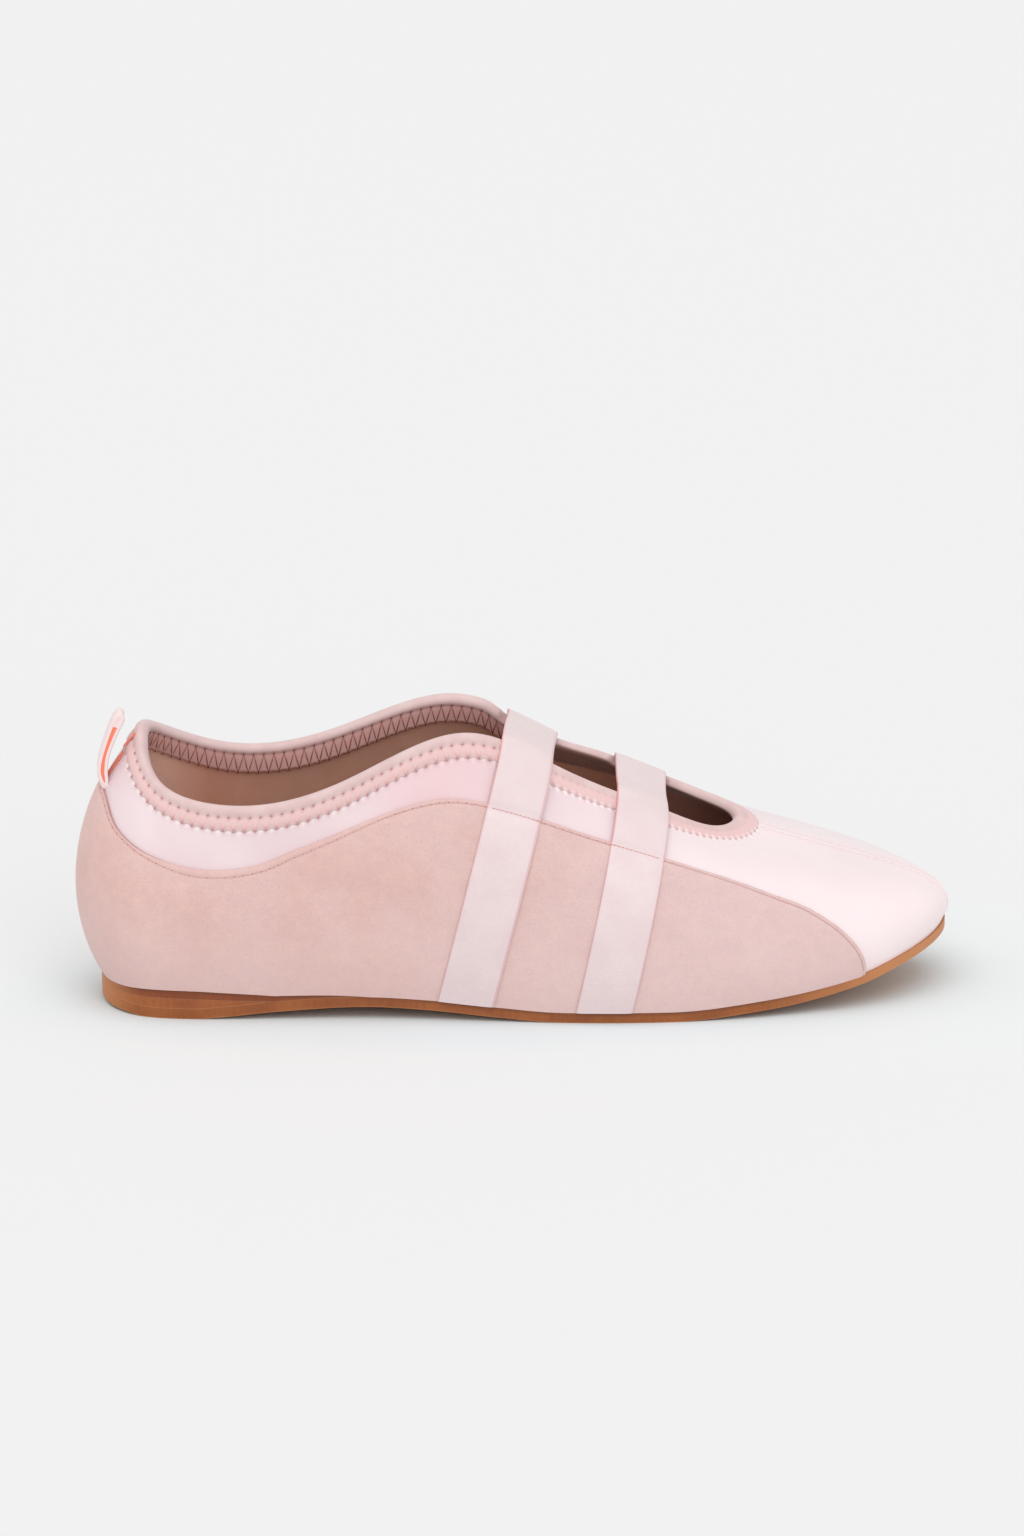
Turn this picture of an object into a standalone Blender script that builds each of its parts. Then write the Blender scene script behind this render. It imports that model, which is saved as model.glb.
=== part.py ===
"""A ballet sneaker for the right foot: satin upper, suede quarter overlay, two elastic straps over
the throat, an elastic binding round the topline, a pull tab, and a thin sole on a low stacked heel.

The shoe points along +X. Its lateral side is at -Y, its medial side at +Y, and it stands on z = 0.
Every length is in metres."""

import math

import bmesh
import bpy
import numpy as np

# ---- Driving dimensions -------------------------------------------------------------------------

MM = 0.001
LENGTH = 254 * MM  # over the heel's bulge and the toe
BALL_WIDTH = 80 * MM  # across the feather edge at the ball
COLLAR_HEIGHT = 80.8 * MM  # the topline at the instep

WALL = 1.8 * MM  # satin, foam and lining together
OVERLAY = 0.9 * MM  # suede
ELASTIC = 0.9 * MM  # the binding round the topline
STRAP = 1.1 * MM  # the wide elastic
OUTSOLE = 2.9 * MM
INSOLE = 2.2 * MM
CLEARANCE = 0.3 * MM  # between two pieces that touch
SKIN_GAP = 0.45 * MM  # between the curved wall and a skin laid over it

BINDING_OUTSIDE = 8.0 * MM  # how far the binding reaches down the outside of the topline
BINDING_INSIDE = 5.0 * MM
STRAP_WIDTH = 15.8 * MM
STRAP_LIFT = OVERLAY + 2 * SKIN_GAP  # from the wall to the strap's inner face
STRAP_SPRING = 2.0 * MM  # how stiffly a strap turns in over the topline
TAB_WIDTH = 8.0 * MM
TAB = 0.6 * MM  # the tab's ribbon
SOLE_MARGIN = 0.9 * MM  # the sole's edge stands out from the wall's foot
INSOLE_PLAY = 0.3 * MM
LOWER_LIFT_END = -74.3 * MM
UPPER_LIFT_END = -48.8 * MM

KNOT_POWER = 0.75  # how far a closed spline spreads its knots by the distance between its rows
NEAR_TURN = 0.001  # a small step round the shoe, to find its direction there
NEAR_SHARE = 0.002  # a small step both ways over the wall, to find its normal

# ---- The last -----------------------------------------------------------------------------------

# One row for each rib, which climbs the wall of the shoe from the feather edge, where the wall
# meets the sole, to the topline. Distances along the shoe are shares of LENGTH from its middle,
# widths and handles are shares of BALL_WIDTH, and heights are shares of COLLAR_HEIGHT.
# bulge and rise are the handle at the feather edge, out from the shoe and up. roll and drop are the
# handle at the topline, out from the shoe and down.
RIB_COLUMNS = (
    "foot_x", "foot_lateral", "foot_medial",
    "top_x", "top_lateral", "top_medial", "top_z_lateral", "top_z_medial",
    "bulge_lateral", "bulge_medial", "rise_lateral", "rise_medial", "roll", "drop",
)
RIBS = {
    "heel_back":   (-0.4705, 0.000, 0.000, -0.425, 0.000, 0.000, 0.963, 0.963,
                    0.137, 0.137, 0.224, 0.224, 0.267, 0.267),
    "heel_corner": (-0.4440, 0.222, 0.222, -0.408, 0.170, 0.179, 0.824, 0.952,
                    0.118, 0.118, 0.260, 0.260, 0.160, 0.260),
    "heel_side":   (-0.3700, 0.310, 0.310, -0.341, 0.296, 0.286, 0.760, 0.854,
                    0.090, 0.090, 0.260, 0.260, 0.080, 0.250),
    "waist":       (-0.1970, 0.357, 0.288, -0.205, 0.338, 0.332, 0.841, 0.871,
                    0.084, 0.084, 0.280, 0.280, 0.063, 0.250),
    "instep":      (-0.0100, 0.445, 0.374, -0.069, 0.299, 0.279, 1.002, 1.009,
                    0.060, 0.060, 0.320, 0.320, 0.138, 0.290),
    "ball":        (0.1650, 0.494, 0.484, 0.045, 0.266, 0.280, 0.858, 0.872,
                    0.055, 0.055, 0.260, 0.260, 0.190, 0.210),
    "toe_side":    (0.3350, 0.427, 0.454, 0.155, 0.207, 0.210, 0.694, 0.732,
                    0.064, 0.049, 0.220, 0.188, 0.230, 0.140),
    "toe_corner":  (0.4440, 0.278, 0.306, 0.226, 0.123, 0.132, 0.598, 0.654,
                    0.094, 0.147, 0.210, 0.231, 0.280, 0.110),
    "toe_tip":     (0.4950, -0.025, 0.025, 0.257, -0.005, 0.005, 0.617, 0.617,
                    0.132, 0.132, 0.183, 0.183, 0.342, 0.150),
}

# Under the shoe: the height of the outsole's underside, and what each heel lift adds. A lift runs
# out where its thickness passes zero, and a figure below zero only says how steeply it gets there.
SOLE_COLUMNS = ("x", "underside", "lower_lift", "upper_lift")
SOLE = {
    "heel_back":     (-0.476, 1.3 * MM, 2.1 * MM, 2.1 * MM),
    "heel_edge":     (-0.447, 0.6 * MM, 2.5 * MM, 2.35 * MM),
    "heel_tread":    (-0.424, 0.0 * MM, 2.95 * MM, 2.6 * MM),
    "heel_flat":     (-0.374, 0.0 * MM, 2.8 * MM, 2.7 * MM),
    "heel_front":    (-0.334, 0.8 * MM, 1.7 * MM, 2.5 * MM),
    "lower_end":     (-0.282, 2.2 * MM, 0.0 * MM, 1.9 * MM),
    "upper_end":     (-0.174, 3.7 * MM, -3.0 * MM, 0.0 * MM),
    "waist":         (-0.109, 3.0 * MM, -3.0 * MM, -1.5 * MM),
    "shank_front":   (-0.034, 1.3 * MM, -3.0 * MM, -1.5 * MM),
    "ball_back":     (0.043, 0.0 * MM, -3.0 * MM, -1.5 * MM),
    "ball_front":    (0.161, 0.0 * MM, -3.0 * MM, -1.5 * MM),
    "tread_end":     (0.264, 2.0 * MM, -3.0 * MM, -1.5 * MM),
    "toe_spring":    (0.380, 6.6 * MM, -3.0 * MM, -1.5 * MM),
    "toe_underside": (0.433, 10.6 * MM, -3.0 * MM, -1.5 * MM),
    "toe_tip":       (0.498, 15.2 * MM, -3.0 * MM, -1.5 * MM),
}

# The top edge of the suede overlay, the same on both sides: how far round the shoe, as a turn from
# the heel back, and how far up the wall, as a climb from the feather edge to the topline.
QUARTER_COLUMNS = ("turn", "climb")
QUARTER_EDGE = {
    "heel_back":   (0.000, 0.797),
    "tab_side":    (0.011, 0.794),
    "heel_corner": (0.029, 0.746),
    "heel_side":   (0.053, 0.708),
    "dip":         (0.079, 0.691),
    "rise":        (0.106, 0.715),
    "arch":        (0.132, 0.770),
    "waist":       (0.180, 0.797),
    "crest":       (0.213, 0.789),
    "instep":      (0.264, 0.752),
    "ball":        (0.331, 0.725),
    "vamp":        (0.363, 0.687),
    "toe_side":    (0.3935, 0.602),
    "shoulder":    (0.4075, 0.498),
    "nose":        (0.4135, 0.420),
    "front":       (0.4155, 0.300),
}

# Each strap lies in a leaning band: x = start + lean * z + skew * y along its middle.
STRAP_COLUMNS = ("start", "lean", "skew")
STRAPS = {
    "strap_rear":  (-14.6 * MM, 0.25, 0.115),
    "strap_front": (24.4 * MM, 0.21, 0.080),
}

# The pull tab's ribbon, in the plane of the back seam: up the outer leg and down the inner one.
TAB_COLUMNS = ("x", "z")
TAB_LOOP = {
    "outer_foot":  (-119.5 * MM, 66.0 * MM),
    "outer_low":   (-120.1 * MM, 68.8 * MM),
    "outer_mid":   (-118.9 * MM, 74.2 * MM),
    "outer_high":  (-117.0 * MM, 79.6 * MM),
    "shoulder":    (-115.3 * MM, 83.2 * MM),
    "top":         (-113.6 * MM, 84.7 * MM),
    "nose":        (-112.6 * MM, 83.6 * MM),
    "inner_high":  (-113.5 * MM, 81.0 * MM),
    "inner_mid":   (-115.9 * MM, 75.8 * MM),
    "inner_low":   (-117.5 * MM, 70.2 * MM),
    "inner_foot":  (-118.5 * MM, 65.8 * MM),
}


def monotone(at, xs, ys):
    """A smooth curve through a few points that never overshoots them, so flats stay flat."""
    at, xs, ys = np.clip(at, xs[0], xs[-1]), np.asarray(xs), np.asarray(ys)
    run, slope = np.diff(xs), np.diff(ys) / np.diff(xs)
    tangent = np.zeros(len(xs))
    same = slope[:-1] * slope[1:] > 0
    first, second = 2 * run[1:] + run[:-1], run[1:] + 2 * run[:-1]
    with np.errstate(divide="ignore", invalid="ignore"):
        harmonic = (first + second) / (first / slope[:-1] + second / slope[1:])
    tangent[1:-1] = np.where(same, harmonic, 0)
    tangent[0], tangent[-1] = slope[0], slope[-1]
    i = np.clip(np.searchsorted(xs, at, side="right") - 1, 0, len(run) - 1)
    t = (at - xs[i]) / run[i]
    start = ys[i] * (1 + 2 * t) * (1 - t) ** 2 + run[i] * tangent[i] * t * (1 - t) ** 2
    end = ys[i + 1] * t * t * (3 - 2 * t) - run[i] * tangent[i + 1] * t * t * (1 - t)
    return start + end


def sole_profile(column, x):
    """One column of SOLE at a place along the shoe."""
    rows = list(SOLE.values())
    i = SOLE_COLUMNS.index(column)
    value = monotone(x / LENGTH, [row[0] for row in rows], [row[i] for row in rows])
    return np.maximum(value, 0.0)


def layer_top(x, layers):
    """The height of the outsole's top, or of the lower or upper lift's, for 0, 1 or 2 layers."""
    height = sole_profile("underside", x) + OUTSOLE
    for column in SOLE_COLUMNS[2 : 2 + layers]:
        height = height + sole_profile(column, x)
    return height


def sole_top(x):
    """The height of the top of the sole, lifts included."""
    return layer_top(x, 2)


def rib_loop():
    """The ribs in order round the shoe, each as: foot x, y, top x, y, z, bulge, rise, roll, drop."""
    rows = []
    order = [(name, -1) for name in RIBS] + [(name, 1) for name in list(RIBS)[-2:0:-1]]
    for name, side in order:
        row = dict(zip(RIB_COLUMNS, RIBS[name]))
        flank = "lateral" if side < 0 else "medial"
        rows.append((
            row["foot_x"] * LENGTH,
            side * row["foot_" + flank] * BALL_WIDTH,
            row["top_x"] * LENGTH,
            side * row["top_" + flank] * BALL_WIDTH,
            row["top_z_" + flank] * COLLAR_HEIGHT,
            row["bulge_" + flank] * BALL_WIDTH,
            row["rise_" + flank] * BALL_WIDTH,
            row["roll"] * BALL_WIDTH,
            row["drop"] * BALL_WIDTH,
        ))
    return np.array(rows)


def bezier(start, leaving, arriving, end, t):
    """A cubic curve from start to end, drawn out towards its two handles."""
    first = start * (1 - t) ** 3 + 3 * leaving * t * (1 - t) ** 2
    return first + 3 * arriving * t * t * (1 - t) + end * t**3


def closed_spline(values):
    """A function of turn, from 0 to 1, that passes smoothly through rows set round a loop."""
    step = np.linalg.norm(np.roll(values, -1, axis=0)[:, :2] - values[:, :2], axis=1) ** KNOT_POWER
    step = step / step.sum()
    knots = np.concatenate([[0], np.cumsum(step)[:-1]])
    count = len(values)
    system, right = np.zeros((count, count)), np.zeros_like(values)
    slope = (np.roll(values, -1, axis=0) - values) / step[:, None]
    for i in range(count):
        system[i, i - 1] += step[i - 1]
        system[i, i] += 2 * (step[i - 1] + step[i])
        system[i, (i + 1) % count] += step[i]
        right[i] = 6 * (slope[i] - slope[i - 1])
    bend = np.linalg.solve(system, right)

    def value(turn):
        turn = np.asarray(turn, float) % 1.0
        i = np.searchsorted(knots, turn, side="right") - 1
        j = (i + 1) % count
        run = step[i][..., None]
        after = (turn - knots[i])[..., None]
        before = run - after
        curve = (bend[i] * before**3 + bend[j] * after**3) / (6 * run)
        line_i = (values[i] / run - bend[i] * run / 6) * before
        line_j = (values[j] / run - bend[j] * run / 6) * after
        return curve + line_i + line_j

    return value


ribs_round = closed_spline(rib_loop())


def wall(turn, climb):
    """A point of the upper's outer surface. turn goes from the heel back (0) along the lateral
    side to the toe (about 0.5) and back along the medial side. climb goes from the feather edge
    (0) to the topline (1)."""
    turn, climb = np.broadcast_arrays(np.asarray(turn, float), np.asarray(climb, float))
    row = ribs_round(turn)
    ahead = ribs_round(turn + NEAR_TURN)[..., :2] - ribs_round(turn - NEAR_TURN)[..., :2]
    ahead = ahead / np.linalg.norm(ahead, axis=-1, keepdims=True)
    outward = np.stack([ahead[..., 1], -ahead[..., 0], np.zeros_like(turn)], axis=-1)
    up = np.array([0.0, 0.0, 1.0])
    foot = np.stack([row[..., 0], row[..., 1], sole_top(row[..., 0]) + CLEARANCE], axis=-1)
    top = row[..., 2:5]
    leaving = foot + outward * row[..., 5:6] + up * row[..., 6:7]
    arriving = top + outward * row[..., 7:8] - up * row[..., 8:9]
    return bezier(foot, leaving, arriving, top, climb[..., None])


def wall_normal(turn, climb):
    """The outward direction of the upper's surface."""
    along = wall(turn + NEAR_SHARE, climb) - wall(turn - NEAR_SHARE, climb)
    above, below = np.minimum(climb + NEAR_SHARE, 1), np.maximum(climb - NEAR_SHARE, 0)
    upward = wall(turn, above) - wall(turn, below)
    normal = np.cross(along, upward)
    return normal / np.linalg.norm(normal, axis=-1, keepdims=True)


def shell(turn, climb, out):
    """A point at a distance out from the upper's outer surface, negative inside it."""
    turn, climb = np.broadcast_arrays(np.asarray(turn, float), np.asarray(climb, float))
    return wall(turn, climb) + wall_normal(turn, climb) * np.asarray(out)[..., None]


# ---- Meshes -------------------------------------------------------------------------------------

TURNS = 88  # stations round the shoe
CLIMBS = 12  # faces up the wall
OUTLINE_TURNS = 720  # stations round the plan of the sole
RUNGS = 44  # stations along the sole
END_BOW = 0.05  # radians from each end of the sole to its first rung
SHORT_RUNG = 1 * MM  # a lift's last rung is at least this far from its cut end
QUARTER_ROWS = 8  # points up the suede overlay
QUARTER_FRONT = 3  # more stations in the part turn that ends the overlay
STRAP_ROWS = 14  # stations up each side of a strap
STRAP_BRIDGE = 8  # and over the throat
TAB_STATIONS = 40  # points round the pull tab's loop
FOOT_CLIMB = 0.015  # overlays and straps stop just above the sole
RIM_CLIMB = 0.97  # from here to the topline gives the wall's direction at its rim
DEEPEST_CLIMB = 0.4  # the binding stays above this
DEPTH_STEPS = 48  # faces on the line that its depth is measured along
HALVINGS = 40  # how often a search cuts its range in two
SHARP = math.radians(50)  # edges bent more than this are shaded sharp

for old in list(bpy.data.objects):
    bpy.data.objects.remove(old)

shoe = bpy.data.collections.new("ballet_sneaker")
bpy.context.scene.collection.children.link(shoe)


def finish(name, color, roughness):
    """A material of one plain finish."""
    material = bpy.data.materials.new(name)
    material.use_nodes = True
    surface = material.node_tree.nodes["Principled BSDF"]
    surface.inputs["Base Color"].default_value = (*color, 1.0)
    surface.inputs["Roughness"].default_value = roughness
    surface.inputs["Metallic"].default_value = 0.0
    return material


def piece(name, mesh, material):
    """A named object in the shoe's collection."""
    built = bpy.data.objects.new(name, mesh)
    mesh.materials.append(material)
    mesh.shade_smooth()
    mesh.set_sharp_from_angle(angle=SHARP)
    shoe.objects.link(built)
    return built


def modelled(name, model, material):
    """The object of a finished bmesh."""
    mesh = bpy.data.meshes.new(name)
    model.to_mesh(mesh)
    model.free()
    return piece(name, mesh, material)


def sheet(name, rows, closed, material):
    """An open sheet through rows of points, closed into a ring when its last row meets its first."""
    model = bmesh.new()
    lines = [[model.verts.new(point) for point in row] for row in rows]
    if closed:
        lines.append(lines[0])
    for here, ahead in zip(lines, lines[1:]):
        for i in range(len(here) - 1):
            model.faces.new((here[i], ahead[i], ahead[i + 1], here[i + 1]))
    return modelled(name, model, material)


def thicken(built, thickness, side):
    """Gives a sheet its thickness: outward with side 1, inward with -1, both ways with 0."""
    solid = built.modifiers.new("thickness", "SOLIDIFY")
    solid.thickness = thickness
    solid.offset = side
    solid.use_even_offset = True
    return built


def loft(name, rings, closed, material):
    """A solid through closed sections: a ring when closed, or capped at its two ends."""
    model = bmesh.new()
    lines = [[model.verts.new(point) for point in ring] for ring in rings]
    if closed:
        lines.append(lines[0])
    else:
        model.faces.new(lines[0])
        model.faces.new(lines[-1])
    for here, ahead in zip(lines, lines[1:]):
        for i in range(len(here)):
            j = (i + 1) % len(here)
            model.faces.new((here[i], ahead[i], ahead[j], here[j]))
    bmesh.ops.recalc_face_normals(model, faces=model.faces)
    return modelled(name, model, material)


# ---- Sole ---------------------------------------------------------------------------------------


def foot_outline(margin):
    """The plan of the feather edge moved out by a margin, as its lateral and its medial half, each
    from the heel to the toe."""
    turns = np.linspace(0, 1, OUTLINE_TURNS, endpoint=False)
    foot = wall(turns, 0)[:, :2]
    ahead = np.roll(foot, -1, axis=0) - np.roll(foot, 1, axis=0)
    ahead = ahead / np.linalg.norm(ahead, axis=1, keepdims=True)
    edge = foot + margin * np.stack([ahead[:, 1], -ahead[:, 0]], axis=1)
    edge = np.roll(edge, -int(np.argmin(edge[:, 0])), axis=0)
    toe = int(np.argmax(edge[:, 0]))
    medial = np.concatenate([edge[toe:], edge[:1]])[::-1]
    return edge[: toe + 1], medial


def face_height(x, layers, above):
    """The height of a face that lies above so many of the sole's layers, or None for the ground."""
    if layers is None:
        return float(sole_profile("underside", x))
    return float(layer_top(x, layers)) + above


def slab(name, margin, front, low_face, high_face, material):
    """A plate under the foot, from the heel to a place along the shoe, between two faces."""
    lateral, medial = foot_outline(margin)
    back, tip = lateral[0, 0], lateral[-1, 0]
    bow = np.linspace(END_BOW, math.pi - END_BOW, RUNGS)
    xs = (back + tip) / 2 - (tip - back) / 2 * np.cos(bow)
    if front < tip:
        xs = np.append(xs[xs < front - SHORT_RUNG], front)
    rings = []
    for x in xs:
        near = np.interp(x, lateral[:, 0], lateral[:, 1])
        far = np.interp(x, medial[:, 0], medial[:, 1])
        low = face_height(x, *low_face)
        high = face_height(x, *high_face)
        rings.append([(x, near, low), (x, far, low), (x, far, high), (x, near, high)])
    return loft(name, rings, False, material)


def build_sole():
    """The outsole, and the two lifts of the stacked heel, which run out to nothing towards the
    arch. Each lift ends where it is as thin as a sheet of card."""
    tan = finish("outsole_tan", (0.45, 0.17, 0.05), 0.45)
    brown = finish("lift_brown", (0.33, 0.12, 0.05), 0.45)
    slab("outsole", SOLE_MARGIN, LENGTH, (None, 0.0), (0, 0.0), tan)
    slab("heel_lift_lower", SOLE_MARGIN, LOWER_LIFT_END, (0, CLEARANCE), (1, 0.0), tan)
    slab("heel_lift_upper", SOLE_MARGIN, UPPER_LIFT_END, (1, CLEARANCE), (2, 0.0), brown)


def build_insole():
    taupe = finish("insole_taupe", (0.40, 0.26, 0.20), 0.7)
    margin = -(WALL + CLEARANCE + INSOLE_PLAY)
    slab("insole", margin, LENGTH, (2, CLEARANCE), (2, CLEARANCE + INSOLE), taupe)


# ---- Upper --------------------------------------------------------------------------------------


def build_upper():
    """The satin upper with its lining: one wall, open at the topline and under the foot."""
    satin = finish("satin_pink", (0.83, 0.62, 0.65), 0.4)
    turns = np.linspace(0, 1, TURNS, endpoint=False)
    climbs = np.linspace(0, 1, CLIMBS + 1)
    rows = wall(turns[:, None], climbs[None, :])
    thicken(sheet("upper", rows, True, satin), WALL, -1)


def quarter_edge(turn):
    """How far up the wall the suede overlay reaches."""
    rows = list(QUARTER_EDGE.values())
    folded = np.minimum(turn % 1, 1 - turn % 1)
    return monotone(folded, [row[0] for row in rows], [row[1] for row in rows])


def build_quarter():
    """The suede overlay: one skin from the lateral toe round the heel to the medial toe."""
    suede = finish("suede_pink", (0.69, 0.43, 0.39), 0.9)
    end = QUARTER_EDGE["front"][0]
    last = int(end * TURNS)
    front = np.linspace(last / TURNS, end, QUARTER_FRONT + 1)[1:]
    turns = np.concatenate([-front[::-1], np.arange(-last, last + 1) / TURNS, front])
    climbs = np.linspace(FOOT_CLIMB, 1, QUARTER_ROWS)
    gap = np.full(QUARTER_ROWS, SKIN_GAP)
    rows = [shell(turn, climbs * quarter_edge(turn), gap) for turn in turns]
    thicken(sheet("quarter_overlay", rows, False, suede), OVERLAY, 1)


def climb_at_depth(turn, depth):
    """How far up the wall a point lies that is this deep below the topline."""
    climbs = np.linspace(1, DEEPEST_CLIMB, DEPTH_STEPS + 1)
    line = wall(turn, climbs)
    run = np.concatenate([[0], np.cumsum(np.linalg.norm(np.diff(line, axis=0), axis=1))])
    return np.interp(depth, run, climbs)


def over_rim(turn, up, out):
    """A point past the topline: on along the wall by up, and out from the upper's surface."""
    edge = wall(turn, 1.0)
    along = edge - wall(turn, RIM_CLIMB)
    along = along / np.linalg.norm(along)
    return edge + along * up + wall_normal(turn, 1.0) * out


def build_binding():
    """The elastic folded over the topline, with a longer leg outside than inside."""
    elastic = finish("binding_pink", (0.74, 0.52, 0.53), 0.7)
    face, skin = SKIN_GAP, SKIN_GAP + ELASTIC
    back, lining = -WALL - SKIN_GAP, -WALL - SKIN_GAP - ELASTIC
    rings = []
    for turn in np.linspace(0, 1, TURNS, endpoint=False):
        low = climb_at_depth(turn, BINDING_OUTSIDE)
        mid = climb_at_depth(turn, BINDING_OUTSIDE / 2)
        inner = climb_at_depth(turn, BINDING_INSIDE)
        rings.append([
            shell(turn, low, face),
            shell(turn, low, skin),
            shell(turn, mid, skin),
            over_rim(turn, 0, skin),
            over_rim(turn, skin, -0.2 * WALL),
            over_rim(turn, skin, -0.8 * WALL),
            over_rim(turn, 0, lining),
            shell(turn, inner, lining),
            shell(turn, inner, back),
            over_rim(turn, 0, back),
            over_rim(turn, face, back),
            over_rim(turn, face, face),
            shell(turn, mid, face),
        ])
    loft("topline_binding", rings, True, elastic)


# ---- Straps and tab -----------------------------------------------------------------------------


def turn_on_band(climb, out, side, offset, strap):
    """Where a strap's band, moved along the shoe by offset, meets the wall at one climb."""
    row = dict(zip(STRAP_COLUMNS, STRAPS[strap]))
    low, high = (0.0, 0.5) if side < 0 else (0.5, 1.0)
    for _ in range(HALVINGS):
        turn = (low + high) / 2
        x, y, z = shell(turn, climb, out)
        ahead = x > row["start"] + offset + row["lean"] * z + row["skew"] * y
        if ahead == (side < 0):
            high = turn
        else:
            low = turn
    return turn


def strap_line(strap, offset):
    """One line along a strap: up the lateral wall, over the throat and down the medial wall."""
    out = STRAP_LIFT
    halves = []
    for side in (-1, 1):
        half = []
        for climb in np.linspace(FOOT_CLIMB, 1, STRAP_ROWS):
            half.append(shell(turn_on_band(climb, out, side, offset, strap), climb, out))
        turn = turn_on_band(1.0, out, side, offset, strap)
        half.append(over_rim(turn, SKIN_GAP + ELASTIC + CLEARANCE, out))
        halves.append(half)
    near, far = halves
    start, end = near[-1], far[-1]
    rise, fall = (half[-1] - half[-2] for half in halves)
    rise = start + STRAP_SPRING * rise / np.linalg.norm(rise)
    fall = end + STRAP_SPRING * fall / np.linalg.norm(fall)
    bridge = []
    for t in np.linspace(0, 1, STRAP_BRIDGE + 1)[1:-1]:
        bridge.append(bezier(start, rise, fall, end, t))
    return near + bridge + far[::-1]


def build_straps():
    elastic = finish("strap_pink", (0.82, 0.64, 0.66), 0.55)
    for strap, (_, lean, _) in STRAPS.items():
        reach = STRAP_WIDTH / 2 * math.hypot(1, lean)
        lines = [strap_line(strap, offset) for offset in (-reach, 0, reach)]
        rows = [[line[i] for line in lines] for i in range(len(lines[0]))]
        thicken(sheet(strap, rows, False, elastic), STRAP, -1)


def build_tab():
    """The pull tab: a ribbon folded into a loop, standing off the back seam."""
    ribbon = finish("tab_pink", (0.85, 0.60, 0.58), 0.6)
    loop = closed_spline(np.array([(x, z) for x, z in TAB_LOOP.values()]))
    path = loop(np.linspace(0, 1, TAB_STATIONS, endpoint=False))
    rows = [[(x, y, z) for y in (-TAB_WIDTH / 2, TAB_WIDTH / 2)] for x, z in path]
    thicken(sheet("pull_tab", rows, True, ribbon), TAB, 0)


build_sole()
build_insole()
build_upper()
build_quarter()
build_binding()
build_straps()
build_tab()
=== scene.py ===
# %% [markdown]
# # A ballet sneaker, dressed on its last
#
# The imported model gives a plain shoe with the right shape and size. This lesson covers it with what
# the eye sees: satin, suede, elastic, lining, thread and sole. Each piece starts as a flat primitive,
# as cloth starts flat on the cutting table, and is then laid on the same last that the plain shoe
# was shaped on.

# %% The frame
import math

import bpy
import numpy as np
from mathutils import Euler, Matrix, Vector, kdtree


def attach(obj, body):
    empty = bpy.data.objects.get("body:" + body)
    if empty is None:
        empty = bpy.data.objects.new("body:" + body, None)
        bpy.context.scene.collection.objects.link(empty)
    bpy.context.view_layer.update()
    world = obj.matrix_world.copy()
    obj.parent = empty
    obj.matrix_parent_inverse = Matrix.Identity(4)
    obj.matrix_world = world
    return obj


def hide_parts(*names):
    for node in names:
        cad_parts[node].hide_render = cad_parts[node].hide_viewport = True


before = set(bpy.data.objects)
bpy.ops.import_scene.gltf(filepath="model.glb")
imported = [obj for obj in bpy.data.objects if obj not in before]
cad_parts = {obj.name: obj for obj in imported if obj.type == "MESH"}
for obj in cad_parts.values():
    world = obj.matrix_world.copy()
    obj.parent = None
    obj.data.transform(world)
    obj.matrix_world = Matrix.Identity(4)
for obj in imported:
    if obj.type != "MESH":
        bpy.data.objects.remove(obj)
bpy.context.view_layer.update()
print("nodes to dress:", ", ".join(sorted(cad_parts)))

# %% [markdown]
# ## Sizes
#
# A shoemaker works from a few sizes: the length over all, the width at the ball and the height of
# the collar. Everything else is a share of these or the real thickness of a material. They are the
# same sizes as the plain shoe's, so that each new piece lies where its plain one does.

# %% Driving sizes
MM = 0.001
LENGTH = 254 * MM
BALL_WIDTH = 80 * MM
COLLAR_HEIGHT = 80.8 * MM

WALL = 1.8 * MM  # satin, foam and lining together
SATIN = 0.8 * MM
SUEDE = 0.95 * MM
STRAP = 0.75 * MM
OUTSOLE = 2.9 * MM
INSOLE = 2.2 * MM
CLEARANCE = 0.3 * MM
FILM = 0.1 * MM  # left between two skins, so that neither shows through the other
STRAP_WIDTH = 15.8 * MM
TAB_WIDTH = 8.0 * MM
SOLE_MARGIN = 0.9 * MM
LOWER_LIFT_END = -71.6 * MM  # where its thickness reaches nothing
UPPER_LIFT_END = -44.2 * MM

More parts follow.
